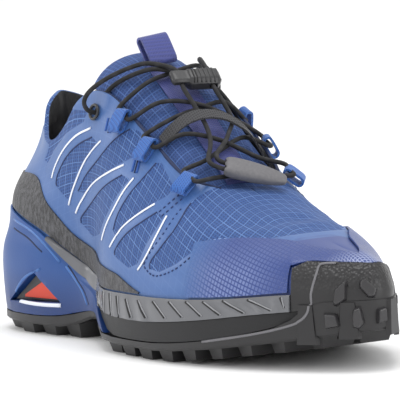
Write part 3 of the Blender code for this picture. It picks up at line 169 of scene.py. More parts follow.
def tube(name, routes, radius, finish, sides=LACE_SIDES, flat=1.0, normals=None):
    """Closed tubes along routes, with a UV map in metres: round the cord and along it."""
    body = bmesh.new()
    wrap = body.loops.layers.uv.new("surface")
    turns = [2 * pi * s / sides for s in range(sides)]
    for number, route in enumerate(routes):
        route = [Vector(p) for p in route]
        side = None
        rings = []
        travelled = [0.0]
        for k, place in enumerate(route):
            ahead = (route[min(k + 1, len(route) - 1)] - route[max(k - 1, 0)]).normalized()
            if normals:
                side = ahead.cross(normals[number][k])
            else:
                side = side - ahead * side.dot(ahead) if k else ahead.orthogonal()
            side.normalize()
            over = side.cross(ahead) * flat
            rings.append([body.verts.new(place + (side * cos(a) + over * sin(a)) * radius)
                          for a in turns])
            if k:
                travelled.append(travelled[-1] + (place - route[k - 1]).length)
        for k in range(len(rings) - 1):
            for s in range(sides):
                n = (s + 1) % sides
                face = body.faces.new([rings[k][s], rings[k][n], rings[k + 1][n], rings[k + 1][s]])
                face.smooth = True
                corners = ((s, k), (s + 1, k), (s + 1, k + 1), (s, k + 1))
                for loop, (u, v) in zip(face.loops, corners):
                    loop[wrap].uv = (u * 2 * pi * radius / sides, travelled[v])
        body.faces.new(rings[0][::-1])
        body.faces.new(rings[-1])
    return finished(body, name, finish)


def worn(piece, slot_name, *nodes):
    """Carries a piece on the shoe, in place of the nodes that it stands for; its slot name is not
    used.
    """
    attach(piece, "root")
    if nodes:
        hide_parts(*nodes)
    return piece


def node(finish, kind, inputs, out=0, **settings):
    """Adds a shader node with its settings and links, and gives one of its outputs."""
    made = finish.node_tree.nodes.new("ShaderNode" + kind)
    for key, value in settings.items():
        setattr(made, key, value)
    feed(finish.node_tree, made.inputs, inputs)
    return made.outputs[out]


# Braided polyester: dull, with a herringbone of bundles about 1 mm long that catches some light.
BUNDLE, BRAID_SLANT, WAVE_UNIT = 0.9 * MM, radians(42), 20
braid = material("braided polyester cord, black", "#19191B", 0.75, Sheen_Weight=0.04)
place = node(braid, "UVMap", {}, uv_map="surface")
bands = []
for slant in (BRAID_SLANT, -BRAID_SLANT):
    turned = node(braid, "Mapping", {"Vector": place, "Rotation": (0, 0, slant)})
    bands.append(node(braid, "TexWave", {"Vector": turned, "Scale": 1 / (WAVE_UNIT * BUNDLE)},
                      "Fac", bands_direction="Y"))
weave = node(braid, "Math", {0: bands[0], 1: bands[1]}, operation="MULTIPLY")
toned = node(braid, "Mix", {0: weave, 6: "#101011", 7: "#252428"}, 2, data_type="RGBA")
shade(braid, Base_Color=toned,
      Normal=node(braid, "Bump", {"Height": weave, "Distance": 0.12 * MM}))

LACE_ENDS = {
    # millimetres: out of the ring, over the tongue, through the lock and down to the pull tab
    "lateral": ((-51.8, -27.4, 112.0), (-52.2, -31.4, 113.2), (-52.1, -33.9, 117.2),
                (-50.4, -32.4, 122.2), (-47.9, -26.2, 127.2), (-44.5, -18.0, 131.4),
                (-39.8, -10.6, 134.4), (-35.2, -5.3, 135.4), (-23.4, 1.9, 132.6),
                (-17.0, 0.3, 127.8), (-10.5, -1.4, 123.0), (1.6, 0.5, 110.1), (11.3, -1.7, 101.9),
                (18.3, -6.4, 96.8), (22.6, -10.4, 93.9), (26.9, -12.1, 91.0), (30.4, -8.8, 88.7),
                (33.6, -2.9, 86.8)),
    "medial": ((-44.6, 32.4, 112.0), (-45.0, 36.4, 112.9), (-45.0, 39.2, 116.6),
               (-43.3, 38.6, 121.6), (-41.0, 33.4, 127.0), (-37.5, 25.0, 133.5),
               (-31.3, 21.3, 135.3), (-20.0, 17.2, 132.0), (-13.6, 15.5, 127.2),
               (-7.1, 13.8, 122.4), (2.9, 16.8, 109.0), (8.7, 11.3, 104.0), (14.8, 4.9, 99.6),
               (19.6, -1.6, 96.6), (23.6, -6.6, 93.9), (27.6, -6.6, 91.3), (30.9, -0.6, 89.3)),
}
# Passes that ease the bends of each route
EASING = 6
for side, places in LACE_ENDS.items():
    route = smooth_route([Vector(p) * MM for p in places], 6)
    for _ in range(EASING):
        route[1:-1] = [(a + b * 2 + c) / 4 for a, b, c in zip(route, route[1:], route[2:])]
    worn(tube(f"lace_end_{side}_cord", [route], LACE / 2, braid), "lace_cord",
                           "lace_end_" + side)


# The lace between the rings: one braided cord, crossed over the tongue from loop to loop, with each
# run lying on the tongue and passing through the ribbon loops along the edge of the throat.
SIDES = {"lateral": -1, "medial": 1}
LOOP_REACH = 5.6 * MM
LOOPS = 3


def middle(node_name):
    first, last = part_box(node_name)
    return (first + last) / 2


def along_throat(side, number):
    """Direction of the throat's edge at a ribbon loop, from the loop behind to the loop ahead."""
    ahead = middle(f"webbing_loop_{side}_{min(number + 1, LOOPS)}")
    behind = middle(f"webbing_loop_{side}_{max(number - 1, 1)}")
    return (ahead - behind).normalized()


def through_loop(side, number, forward):
    """Points through a ribbon loop, on the side of it that the lace pulls on."""
    along = along_throat(side, number) * LOOP_REACH
    mouth = middle(f"webbing_loop_{side}_{number}") + Vector((0, -3.2 * SIDES[side], 3.4)) * MM
    points = [mouth - along, mouth, mouth + along]
    return points if forward else points[::-1]


CROSSINGS = {
    # millimetres, from the outer edge of the tongue to the inner one
    "low up": ((19.6, -10.9, 91.5), (13.3, 4.2, 95.8), (8.7, 19.5, 99.5)),
    "low down": ((3.6, -11.4, 103.6), (11.2, 4.2, 99.6), (20.3, 19.2, 90.6)),
    "middle up": ((-6.6, -11.9, 110.4), (-7.6, 3.5, 113.6), (-7.1, 19.0, 115.8)),
    "middle down": ((-17.1, -11.7, 117.8), (-7.3, 3.5, 116.3), (0.7, 19.3, 107.8)),
    "top up": ((-29.8, -11.4, 126.2), (-30.2, 3.8, 130.1), (-29.9, 19.2, 132.3)),
    "top down": ((-36.4, -11.2, 131.2), (-30.6, -1.6, 132.2), (-22.0, 11.1, 127.0),
                 (-17.1, 18.9, 123.8)),
    "bar": ((28.9, -10.6, 84.0), (27.8, 4.0, 83.7), (30.1, 18.6, 82.5)),
}


def run(name, inward):
    points = [Vector(p) * MM for p in CROSSINGS[name]]
    return points if inward else points[::-1]


lace_route = (
    [middle("eyelet_lateral") + Vector((0, 1.5, 0)) * MM, Vector((-47, -21, 124)) * MM]
    + run("top down", True) + through_loop("medial", 1, True) + run("middle up", False)
    + through_loop("lateral", 2, True) + run("low down", True) + through_loop("medial", 3, True)
    + run("bar", False) + through_loop("lateral", 3, False) + run("low up", True)
    + through_loop("medial", 2, False) + run("middle down", False)
    + through_loop("lateral", 1, False) + run("top up", True)
    + [Vector((-41, 28, 123)) * MM, middle("eyelet_medial") - Vector((0, 1.5, 0)) * MM])
worn(tube("crossed_lace", [smooth_route(lace_route, 6)], LACE / 2, braid), "lace_cord",
     "lace_cross_low", "lace_cross_middle", "lace_cross_top", "lace_bar")


# The upper: a light ripstop textile over the whole foot, with a matt film welded to its quarters.
# Leaf-shaped windows in the film leave the ripstop bare; the inside is a dark knitted lining.
def dressed(source, name, finish, slot_name, levels, crease=1.0, sharp=40):
    """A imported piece's surface, rounded between its hard edges and worn in that piece's place."""
    bpy.ops.object.select_all(action="DESELECT")
    made = bpy.data.objects.new(name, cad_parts[source].data.copy())
    bpy.context.scene.collection.objects.link(made)
    made.select_set(True)
    bpy.context.view_layer.objects.active = made
    bpy.ops.mesh.customdata_custom_splitnormals_clear()
    bpy.ops.object.mode_set(mode="EDIT")
    bpy.ops.mesh.select_all(action="SELECT")
    bpy.ops.mesh.remove_doubles(threshold=0.01 * MM)
    bpy.ops.mesh.tris_convert_to_quads(face_threshold=radians(40), shape_threshold=radians(70))
    bpy.ops.mesh.select_all(action="DESELECT")
    bpy.ops.mesh.select_mode(type="EDGE")
    bpy.ops.mesh.edges_select_sharp(sharpness=radians(sharp))
    bpy.ops.transform.edge_crease(value=crease)
    bpy.ops.object.mode_set(mode="OBJECT")
    if levels:
        rounder = made.modifiers.new("rounder", "SUBSURF")
        rounder.levels = rounder.render_levels = levels
        bpy.ops.object.modifier_apply(modifier="rounder")
    bpy.ops.object.shade_smooth_by_angle(angle=radians(38))
    made.data.materials.clear()
    made.data.materials.append(finish)
    return worn(made, slot_name, source)


def surface_of(piece):
    return BVHTree.FromObject(piece, bpy.context.evaluated_depsgraph_get())


def places_of(piece):
    return np.array([v.co for v in piece.data.vertices])


def reshape(piece, places):
    piece.data.vertices.foreach_set("co", places.ravel())
    piece.data.update()


shell_finish = material("ripstop polyester with welded film", "#3D619A", 0.6, Sheen_Weight=0.05)
shell = dressed("upper", "upper_shell", shell_finish, "ripstop", 3, 0.55, 55)
# The cloth before the film is laid on it
cloth_wall = surface_of(shell)
SEARCH_STEP, SEARCH_STEPS = 2 * MM, 80
BESIDE_FOOT = 0.2


def seen(pixels, carrier):
    """The points of a surface that pixels of the photograph show, or those that come nearest."""
    places = []
    for u, v in pixels:
        line = (camera_right * ((u - PHOTO_SIDE / 2) / FOCAL_PIXELS)
                + camera_up * ((PHOTO_SIDE / 2 - v) / FOCAL_PIXELS) - camera_back).normalized()
        place = carrier.ray_cast(camera_place, line)[0]
        if place is None:
            steps = [camera_place + line * (DISTANCE + step * SEARCH_STEP)
                     for step in range(-SEARCH_STEPS, SEARCH_STEPS + 1)]
            place = min((carrier.find_nearest(p) for p in steps), key=lambda found: found[3])[0]
        places.append(place)
    return places


def across_foot(place, side, carrier):
    """The point and normal of the outer or inner wall at a given length and height."""
    reach = SIDES[side] * BESIDE_FOOT
    found, out = carrier.ray_cast(Vector((place.x, reach, place.z)), Vector((0, -reach, 0)))[:2]
    if found is None:
        found, out = carrier.find_nearest(Vector((place.x, reach * 0.3, place.z)))[:2]
    return found, out


WINDOWS = {
    # pixels of the photograph, round each bare window
    "collar": ((75, 89), (84, 96), (88, 111), (83, 122), (66, 134), (55, 149), (48, 163), (45, 160),
               (50, 145), (57, 122), (66, 100)),
    "rear leaf": ((92, 137), (79, 144), (67, 156), (59, 171), (56, 182), (57, 187), (68, 200),
                  (71, 194), (77, 173), (88, 155), (98, 143)),
    "rear panel": ((130, 129), (115, 139), (99, 158), (86, 175), (78, 191), (84, 193), (102, 176),
                   (122, 163), (138, 155), (151, 147), (140, 131)),
    "middle leaf": ((122, 175), (106, 185), (92, 202), (82, 216), (81, 223), (93, 237), (100, 234),
                    (108, 213), (119, 193), (130, 179)),
    "middle panel": ((156, 163), (143, 178), (128, 196), (117, 216), (113, 230), (116, 236),
                     (124, 226), (139, 213), (154, 203), (166, 197), (175, 189), (167, 174),
                     (162, 163)),
    "front leaf": ((157, 212), (143, 221), (126, 234), (114, 251), (116, 257), (129, 268),
                   (137, 264), (146, 246), (156, 229), (164, 217)),
}
VAMP_EDGE = ((191, 203), (176, 227), (161, 247), (150, 263), (150, 269), (159, 272), (175, 265),
             (193, 252), (212, 242), (240, 240), (270, 239))
NOSE_EDGE = ((262, 243), (270, 241.5), (279, 246), (288, 246.5), (297, 241), (310, 237),
             (324, 235.5), (336, 237))
# Both outlines are closed clear of the shoe: the vamp's over the instep, the nose's round the toe.
ABOVE, BEYOND_TOE = 140 * MM, 160 * MM
VAMP_FRONT, VAMP_LOW, VAMP_BACK = 112 * MM, 68 * MM, 2 * MM
windows = [seen(outline, cloth_wall) for outline in WINDOWS.values()]
vamp = seen(VAMP_EDGE, cloth_wall)
vamp += [Vector((VAMP_FRONT, 0, VAMP_LOW)), Vector((VAMP_FRONT, 0, ABOVE)),
         Vector((vamp[0].x - VAMP_BACK, 0, ABOVE))]
windows.append(vamp)
nose = seen(NOSE_EDGE, cloth_wall)
nose += [Vector((nose[-1].x, 0, ABOVE)), Vector((BEYOND_TOE, 0, ABOVE)), Vector((BEYOND_TOE, 0, 0)),
         Vector((nose[0].x, 0, 0))]
points = places_of(shell)
normals = np.array([v.normal for v in shell.data.vertices])


def inside_by(points, outline):
    """How far points lie inside an outline seen from the side, in mm; less than 0 outside it."""
    flat = points[:, [0, 2]]
    corners = np.array([(p.x, p.z) for p in outline])
    best = np.full(len(flat), 1e9)
    crossings = np.zeros(len(flat), bool)
    for a, b in zip(corners, np.roll(corners, -1, axis=0)):
        span = b - a
        share = np.clip(((flat - a) @ span) / (span @ span), 0, 1)
        best = np.minimum(best, np.linalg.norm(flat - (a + share[:, None] * span), axis=1))
        rising = (a[1] > flat[:, 1]) != (b[1] > flat[:, 1])
        with np.errstate(divide="ignore", invalid="ignore"):
            at = a[0] + (flat[:, 1] - a[1]) * span[0] / span[1]
        crossings ^= rising & (flat[:, 0] < at)
    return np.where(crossings, best, -best) / MM


window_depth = np.max([inside_by(points, outline) for outline in windows], axis=0)
nose_depth = inside_by(points, nose)

# The cloth's own map: walls measured from an axis through the foot room, along it and round it
SLICE, END_SLOPE = 6 * MM, 1.5
STATIONS, ANGLES, WIDEST = 45, 61, radians(150)
stations = np.linspace(points[:, 0].min() + SLICE, points[:, 0].max() - SLICE, STATIONS)
station_step = stations[1] - stations[0]
angles = np.linspace(-WIDEST, WIDEST, ANGLES)
slices = [points[np.abs(points[:, 0] - x) < SLICE] for x in stations]
axes = np.array([(near.min(axis=0) + near.max(axis=0)) / 2 for near in slices])
axes[:, 0] = stations
for k in (1, 2):
    axes[:, k] = np.polyval(np.polyfit(stations, axes[:, k], 5), stations)
reaches = np.zeros((len(stations), len(angles)))
for i, axis in enumerate(axes):
    reach = []
    for angle in angles:
        out = np.array((0, sin(angle), cos(angle)))
        found = cloth_wall.ray_cast(Vector(axis + out * BESIDE_FOOT), Vector(-out), BESIDE_FOOT)[3]
        reach.append(np.nan if found is None else BESIDE_FOOT - found)
    reach = np.array(reach)
    known = ~np.isnan(reach)
    reaches[i] = np.interp(angles, angles[known], reach[known])
# Smoothed over the stations, then over the angles
for spacing in (5.0, 2.5):
    apart = np.subtract.outer(np.arange(len(reaches)), np.arange(len(reaches)))
    spread = np.exp(-0.5 * (apart / spacing) ** 2)
    reaches = (spread @ reaches / spread.sum(axis=1)[:, None]).T
outs = np.stack([np.zeros_like(angles), np.sin(angles), np.cos(angles)], 1)
walls = axes[:, None] + outs[None] * reaches[:, :, None]
girth_steps = np.linalg.norm(np.diff(walls, axis=1), axis=2)
girth = np.concatenate([np.zeros((len(stations), 1)), np.cumsum(girth_steps, axis=1)], axis=1)
girth -= girth[:, [len(angles) // 2]]
long_steps = np.minimum(np.linalg.norm(np.diff(walls, axis=0), axis=2), END_SLOPE * station_step)
length = np.concatenate([np.zeros((1, len(angles))), np.cumsum(long_steps, axis=0)], axis=0)


def between(table, i, j):
    """Value of a table between its rows and columns."""
    rows, columns = table.shape
    i, j = np.clip(i, 0, rows - 1.001), np.clip(j, 0, columns - 1.001)
    a, b = i.astype(int), j.astype(int)
    s, t = i - a, j - b
    return ((table[a, b] * (1 - s) + table[a + 1, b] * s) * (1 - t)
            + (table[a, b + 1] * (1 - s) + table[a + 1, b + 1] * s) * t)


def axis_at(x):
    """Side and height of the foot room's axis at lengths along the foot."""
    return np.stack([np.interp(x, stations, axes[:, k]) for k in (1, 2)], 1)


def lay_cloth_map(piece):
    """Gives a piece on the foot the cloth's own UV map, in metres along it and round it."""
    places = places_of(piece)
    row = (places[:, 0] - stations[0]) / station_step
    at = np.clip(row, 0, len(stations) - 1)
    sideways, up = (places[:, 1:] - axis_at(places[:, 0])).T
    column = (np.arctan2(sideways, up) - angles[0]) / (angles[1] - angles[0])
    along = between(length, row, column) + (row - at) * station_step
    laid = np.stack([along, between(girth, row, column)], 1)
    corner = np.empty(len(piece.data.loops), int)
    piece.data.loops.foreach_get("vertex_index", corner)
    piece.data.uv_layers.new(name="surface").data.foreach_set("uv", laid[corner].ravel())


# How far a vertex faces out: near 1 on the outer wall, less than 0 on the lining
TOE_END, HEEL_END = 100 * MM, -105 * MM
outward = points.copy()
outward[:, 1:] -= axis_at(points[:, 0])
outward[:, 0] = np.clip(points[:, 0] - TOE_END, 0, None) + np.clip(points[:, 0] - HEEL_END, None, 0)
outward /= np.linalg.norm(outward, axis=1)[:, None]
facing = (outward * normals).sum(axis=1)

# Film stands 0.35 mm proud of the windows; soft flex creases run across the vamp and the quarters.
FILM = 0.35 * MM
CREASES = (
    # pixels of the photograph along each crease, its half width and its depth in millimetres, with
    # less than 0 for a ridge
    (((200, 215), (225, 222), (262, 224), (300, 218)), 4.5, 0.55),
    (((214, 228), (245, 231), (285, 229), (318, 222)), 4.0, -0.35),
    (((60, 122), (72, 118), (86, 124), (97, 124)), 4.0, 0.4),
    (((45, 172), (52, 186), (66, 206), (80, 232)), 3.5, 0.35),
    (((140, 262), (165, 277), (200, 280), (240, 276)), 5.0, 0.4),
)
OUTER_WALL, FILM_EDGE = 0.4, 1.2
lift = np.where(facing > OUTER_WALL, FILM * np.clip(0.5 - window_depth / FILM_EDGE, 0, 1), 0)
for pixels, width, depth in CREASES:
    line = np.array(smooth_route(seen(pixels, cloth_wall), 6))
    mirrored = line.copy()
    mirrored[:, 1] = [across_foot(Vector(p), "medial", cloth_wall)[0].y for p in line]
    for crease in (line, mirrored):
        away = np.min(np.linalg.norm(points[:, None] - crease[None], axis=2), axis=1) / (width * MM)
        lift -= depth * MM * np.exp(-away ** 2)
moved = points + normals * lift[:, None]
reshape(shell, moved)
for name, values in (("window", window_depth), ("nose", nose_depth), ("facing", facing)):
    layer = shell.data.attributes.new(name, "FLOAT", "POINT")
    layer.data.foreach_set("value", values.clip(-9, 9).astype(np.float32))
lay_cloth_map(shell)
FILM_WALLS = [surface_of(shell)] * 2


def grid_lines(finish, place, pitch_mm, width_mm):
    """1 on the lines of a square grid of a real pitch and line width."""
    lines = []
    for axis in ("X", "Y"):
        measure = node(finish, "SeparateXYZ", {0: place}, axis)
        away = node(finish, "Math", {0: measure, 1: pitch_mm / 2 * MM}, operation="PINGPONG")
        lines.append(node(finish, "MapRange",
                          {0: away, 1: width_mm * 0.65 * MM, 2: width_mm * 0.35 * MM}))
    return node(finish, "Math", {0: lines[0], 1: lines[1]}, operation="MAXIMUM")


def cloth_colours(finish, place, ground="#213F76", lines="#5D81BB", thread="#2F5490"):
    """Ripstop: a 5 mm grid of thick threads over a weave drawn at 1.67 mm, for the real 0.3 mm."""
    coarse = grid_lines(finish, place, 5.0, 0.45)
    fine = grid_lines(finish, place, 1.667, 0.5)
    woven = node(finish, "Mix", {0: fine, 6: ground, 7: thread}, 2, data_type="RGBA")
    faint = node(finish, "TexNoise", {"Vector": place, "Scale": 60.0, "Detail": 3.0})
    strength = node(finish, "MapRange", {0: faint, 1: 0.35, 2: 0.65, 3: 0.45})
    shown = node(finish, "Math", {0: coarse, 1: strength}, operation="MULTIPLY")
    return node(finish, "Mix", {0: shown, 6: woven, 7: lines}, 2, data_type="RGBA"), coarse, fine


# Polyester ripstop under a polyurethane film: the film is smooth and satin, the cloth matt.
place = node(shell_finish, "UVMap", {}, uv_map="surface")
cloth, coarse, fine = cloth_colours(shell_finish, place)
shares = {}
for name, none, full in (("window", -0.12, 0.12), ("nose", -0.3, 0.3), ("facing", 0.05, 0.2)):
    measure = node(shell_finish, "Attribute", {}, "Fac", attribute_name=name)
    shares[name] = node(shell_finish, "MapRange", {0: measure, 1: none, 2: full})
cloudy = node(shell_finish, "TexNoise", {"Vector": place, "Scale": 22.0, "Detail": 4.0})
film_tone = node(shell_finish, "Mix", {0: cloudy, 6: "#365993", 7: "#43679F"}, 2, data_type="RGBA")
showing = node(shell_finish, "Math", {0: coarse, 1: 0.10}, operation="MULTIPLY")
outside = node(shell_finish, "Mix", {0: showing, 6: film_tone, 7: "#6C8CC0"}, 2, data_type="RGBA")
on_foot = node(shell_finish, "TexCoord", {}, "Object")
knit = node(shell_finish, "TexNoise", {"Vector": on_foot, "Scale": 800.0})
lining = node(shell_finish, "Mix", {0: knit, 6: "#141416", 7: "#26262A"}, 2, data_type="RGBA")
for share, tone in ((shares["window"], cloth), (shares["nose"], "#2A407F")):
    outside = node(shell_finish, "Mix", {0: share, 6: outside, 7: tone}, 2, data_type="RGBA")
facing_out = shares["facing"]
both_sides = node(shell_finish, "Mix", {0: facing_out, 6: lining, 7: outside}, 2, data_type="RGBA")
fine_relief = node(shell_finish, "Math", {0: fine, 1: 0.5}, operation="MULTIPLY")
relief = node(shell_finish, "Math", {0: coarse, 1: fine_relief}, operation="MAXIMUM")
relief = node(shell_finish, "Math", {0: relief, 1: shares["window"]}, operation="MULTIPLY")
shade(shell_finish, Base_Color=both_sides,
      Roughness=node(shell_finish, "MapRange", {0: shares["window"], 3: 0.42, 4: 0.72}),
      Normal=node(shell_finish, "Bump", {"Height": relief, "Distance": 0.2 * MM}))


# Reflective lines, cut 1.25 mm wide from glass-bead transfer film and welded on in three pairs, and
# painted shadow along the cut edges of the film's windows beside them.
ARCS = (
    ((91, 128), (76, 136), (63, 151), (56, 165), (52, 178)),
    ((101, 141), (92, 151), (83, 165), (74, 187), (69, 205)),
    ((124, 165), (106, 174), (92, 185), (81, 202), (76, 213)),
    ((134, 178), (124, 191), (114, 209), (106, 226), (102, 240)),
    ((155, 204), (139, 214), (124, 226), (115, 238), (110, 247)),
    ((167, 216), (159, 231), (150, 249), (143, 262), (138, 270)),
)
SLITS = (
    ((92, 137), (79, 144), (67, 156), (59, 171), (56, 182), (57, 186)),
    ((130, 129), (115, 139), (99, 158), (86, 175), (78, 191)),
    ((122, 175), (106, 185), (92, 202), (82, 216), (81, 223)),
    ((156, 163), (143, 178), (128, 196), (117, 216), (113, 230)),
    ((157, 212), (143, 221), (126, 234), (115, 250), (115, 255)),
    ((191, 203), (176, 227), (161, 247), (150, 263), (150, 269)),
)


def on_both_walls(pixels, sink, carriers, per_span=5):
    """A line of the photograph laid on the outer wall and on the inner one, with its normals."""
    line = smooth_route(seen(pixels, carriers[0]), per_span)
    routes, outs = [], []
    for side, carrier in zip(SIDES, carriers):
        laid = [across_foot(p, side, carrier) for p in line]
        routes.append([place + out * sink for place, out in laid])
        outs.append([out for _, out in laid])
    return routes, outs


def laid_lines(name, group, width, sink, finish, slot_name, flat=0.5, carriers=FILM_WALLS):
    """Narrow strips along lines of the photograph, on both walls of what carries them; in mm."""
    routes, outs = [], []
    for pixels in group:
        more, more_outs = on_both_walls(pixels, sink * MM, carriers)
        routes += more
        outs += more_outs
    worn(tube(name, routes, width / 2 * MM, finish, 6, flat, outs), slot_name)


# Glass-bead reflective film is white with a soft sheen; the painted shadow along the window edges
# is matt and dark.
reflective = material("reflective transfer film, white", "#E9ECF4", 0.35, Coat_Weight=0.2)
window_edge_shadow = material("painted shadow along a film edge", "#1E2C55", 0.7)
laid_lines("reflective_arcs", ARCS, 1.25, 0.25, reflective, "rand_film")
laid_lines("window_edge_shadows", SLITS, 0.8, 0.02, window_edge_shadow, "rand_film")


# Polyester thread in a lockstitch round the front of the film, in two rows at its upper corner, and
# the folded binding along the throat. Below each loop a short bar of ribbon is sewn over a slit,
# drawn as a dark line of painted shadow.
STITCHES = {
    "rear": (((181, 209), (163, 234), (146, 260), (144.5, 267), (155.5, 276), (175.5, 269),
              (194, 254.5)),
             ((159, 212), (166, 206), (174, 199), (183, 192)),
             ((162, 216), (169, 210), (177, 203), (186, 196))),
    "front": (((194, 254.5), (212, 241), (230, 239), (250, 240), (270, 238)),),
}
STITCH, STITCH_GAP, THREAD = 1.6 * MM, 1.3 * MM, 0.8 * MM
THREADS = {
    "rear": material("polyester sewing thread, dark blue", "#15285A", 0.6),
    "front": material("polyester sewing thread, pale blue", "#8AA3D2", 0.6),
}
binding_and_shade_lines = material("polyester binding and painted shade lines, dark blue", "#152347", 0.7)
tab_blue = material("polyester ribbon, blue", "#1B4C98", 0.6)
for part, group in STITCHES.items():
    routes, outs = [], []
    for pixels in group:
        for line, line_outs in zip(*on_both_walls(pixels, 0.1 * MM, FILM_WALLS, 36)):
            travelled = 0.0
            stitch, stitch_outs = [], []
            for a, b, out in zip(line, line[1:], line_outs):
                travelled += (b - a).length
                if travelled % (STITCH + STITCH_GAP) < STITCH:
                    stitch.append(a)
                    stitch_outs.append(out)
                elif stitch:
                    if len(stitch) > 1:
                        routes.append(stitch)
                        outs.append(stitch_outs)
                    stitch, stitch_outs = [], []
    worn(tube("film_stitches_" + part, routes, THREAD / 2, THREADS[part], 6, 0.7, outs),
         "rand_film")

THROAT_REAR, THROAT_FRONT = -58 * MM, 34 * MM
EDGE_STEP, EDGE_SLICE, OFF_MIDDLE = 5 * MM, 1.5 * MM, 4 * MM
routes, outs = [], []
for sign in SIDES.values():
    edge, edge_outs = [], []
    for x in np.arange(THROAT_REAR, THROAT_FRONT, EDGE_STEP):
        near = np.flatnonzero((np.abs(points[:, 0] - x) < EDGE_SLICE)
                              & (points[:, 1] * sign > OFF_MIDDLE) & (facing > 0.5))
        top = near[np.argmax(points[near, 2] - 0.5 * np.abs(points[near, 1]))]
        edge.append(moved[top])
        edge_outs.append(normals[top])
    edge[1:-1] = [(a + 2 * b + c) / 4 for a, b, c in zip(edge, edge[1:], edge[2:])]
    routes.append(smooth_route(edge, 4))
    outs.append([out.normalized() for out in smooth_route(edge_outs, 4)])
worn(tube("throat_binding", routes, 1.0 * MM, binding_and_shade_lines, 8, 0.6, outs), "rand_film")
ANCHORS = (((105.5, 131), (108.5, 118)), ((110, 133), (113, 120)), ((132, 171.5), (135.5, 158.5)),
           ((136.5, 173), (140, 160)))
# The slits are dark lines of painted shadow, in the binding's dark blue.
ANCHOR_SLIT_SHADOWS = (((108, 133), (111, 119)), ((134.4, 173), (138, 159.5)))
laid_lines("loop_anchors", ANCHORS, 1.5, 0.15, tab_blue, "blue_ribbon")
laid_lines("loop_slit_shadows", ANCHOR_SLIT_SHADOWS, 0.9, 0.1, binding_and_shade_lines, "blue_ribbon")


# The tongue: two layers of the same ripstop round a 5 mm foam, stitched across in soft channels,
# held at its foot under the vamp and free at its top.
tongue_finish = material("ripstop polyester over foam", "#2A4A86", 0.75, Sheen_Weight=0.05)
place = node(tongue_finish, "UVMap", {}, uv_map="surface")
cloth, coarse, fine = cloth_colours(tongue_finish, place, "#223D74", "#4869A6", "#2D4D88")
relief = node(tongue_finish, "Math", {0: coarse, 1: fine}, operation="MAXIMUM")
shade(tongue_finish, Base_Color=cloth,
      Normal=node(tongue_finish, "Bump", {"Height": relief, "Distance": 0.2 * MM}))
tongue = dressed("tongue", "tongue_pad", tongue_finish, "tongue_cloth", 3, 0.3, 60)
CHANNELS = (20, 44, 68, 92)
CHANNEL_DEPTH, CHANNEL_WIDTH = 0.5 * MM, 3.0 * MM
places = places_of(tongue)
outs = np.array([v.normal for v in tongue.data.vertices])
first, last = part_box("tongue")
from_top = np.hypot(places[:, 0] - first.x, places[:, 2] - last.z)
dent = sum(np.exp(-((from_top - at * MM) / CHANNEL_WIDTH) ** 2) for at in CHANNELS)
reshape(tongue, places - outs * (dent * CHANNEL_DEPTH)[:, None] * (outs[:, 2:3] > 0))
lay_cloth_map(tongue)


# Narrow woven ribbons: the band down the tongue, the pull loop at its top and the loops for the
# lace, all polyester, with ribs across them about 0.6 mm apart, folded and sewn in at their ends.
def ribbed(name, low_tone, high_tone, roughness, sheen=0.2, pitch=0.9, rib=0.36, depth=0.12):
    """Fine ribs, in mm, drawn a little coarser than the real 0.6 mm so that they show."""
    made = material(name, low_tone, roughness, Sheen_Weight=sheen)
    ribs = grid_lines(made, node(made, "TexCoord", {}, "Object"), pitch, rib)
    toned = node(made, "Mix", {0: ribs, 6: low_tone, 7: high_tone}, 2, data_type="RGBA")
    shade(made, Base_Color=toned,
          Normal=node(made, "Bump", {"Height": ribs, "Distance": depth * MM}))
    return made


# Satin ribbon is smooth and catches light along its folds; the woven one is duller.
navy = ribbed("navy satin ribbon", "#2C3473", "#3A4388", 0.5)
blue = ribbed("blue woven ribbon", "#174690", "#2C63AE", 0.6)
dressed("tongue_label", "label_band", navy, "navy_ribbon", 2)
dressed("pull_loop", "pull_ribbon", navy, "navy_ribbon", 2, 1.0, 50)
# Width of the loops' ribbon as a share of the solid's, along the throat
LOOP_RIBBON_WIDTH = 0.72
for side in SIDES:
    for number in range(1, LOOPS + 1):
        source = f"webbing_loop_{side}_{number}"
        loop = dressed(source, f"lace_loop_{side}_{number}", blue, "blue_ribbon", 2, 1.0, 50)
        centre, along = middle(source), along_throat(side, number)
        for vertex in loop.data.vertices:
            vertex.co -= along * ((vertex.co - centre).dot(along) * (1 - LOOP_RIBBON_WIDTH))


# The strap over the tongue, where the pull tab is tucked away: elastic knitted round rubber threads
# and sewn down at both its ends.
elastic = ribbed("knitted elastic, dark grey", "#1E1E21", "#37373B", 0.7, 0.15, 1.1, 0.4, 0.15)
dressed("tongue_strap", "lace_keeper", elastic, "elastic", 2, 1.0, 50)


# The hard fittings: nylon cord lock and top rings, moulded with a fine grain, and the soft rubber
# pull tab moulded on the lace ends.
# Nylon is satin with a fine spark-eroded grain; the soft rubber is matt and a little lighter.
nylon = material("moulded nylon, dark grey", "#29292B", 0.38, 1.53)
grain = node(nylon, "TexNoise", {"Vector": node(nylon, "TexCoord", {}, "Object"), "Scale": 900.0})
shade(nylon, Normal=node(nylon, "Bump", {"Height": grain, "Distance": 0.05 * MM}))
soft_tab = material("moulded soft rubber, grey", "#4A4A4C", 0.55)
place = node(soft_tab, "TexCoord", {}, "Object")
grain = node(soft_tab, "TexNoise", {"Vector": place, "Scale": 700.0, "Detail": 3.0})
toned = node(soft_tab, "Mix", {0: grain, 6: "#565558", 7: "#6C6B6E"}, 2, data_type="RGBA")
shade(soft_tab, Base_Color=toned,
      Normal=node(soft_tab, "Bump", {"Height": grain, "Distance": 0.08 * MM}))
lock = dressed("lace_lock", "cord_lock", nylon, "fitting_plastic", 2, 0.75, 30)
lock_wall = surface_of(lock)
places = places_of(lock)
lock_heart = Vector(places.mean(axis=0))
lock_axes = np.linalg.svd(places - places.mean(axis=0), full_matrices=False)[2]
lock_long, lock_out = Vector(lock_axes[0]), Vector(lock_axes[2])
lock_long = lock_long if lock_long.y > 0 else -lock_long
lock_out = lock_out if lock_out.z > 0 else -lock_out
lock_wide = lock_out.cross(lock_long)
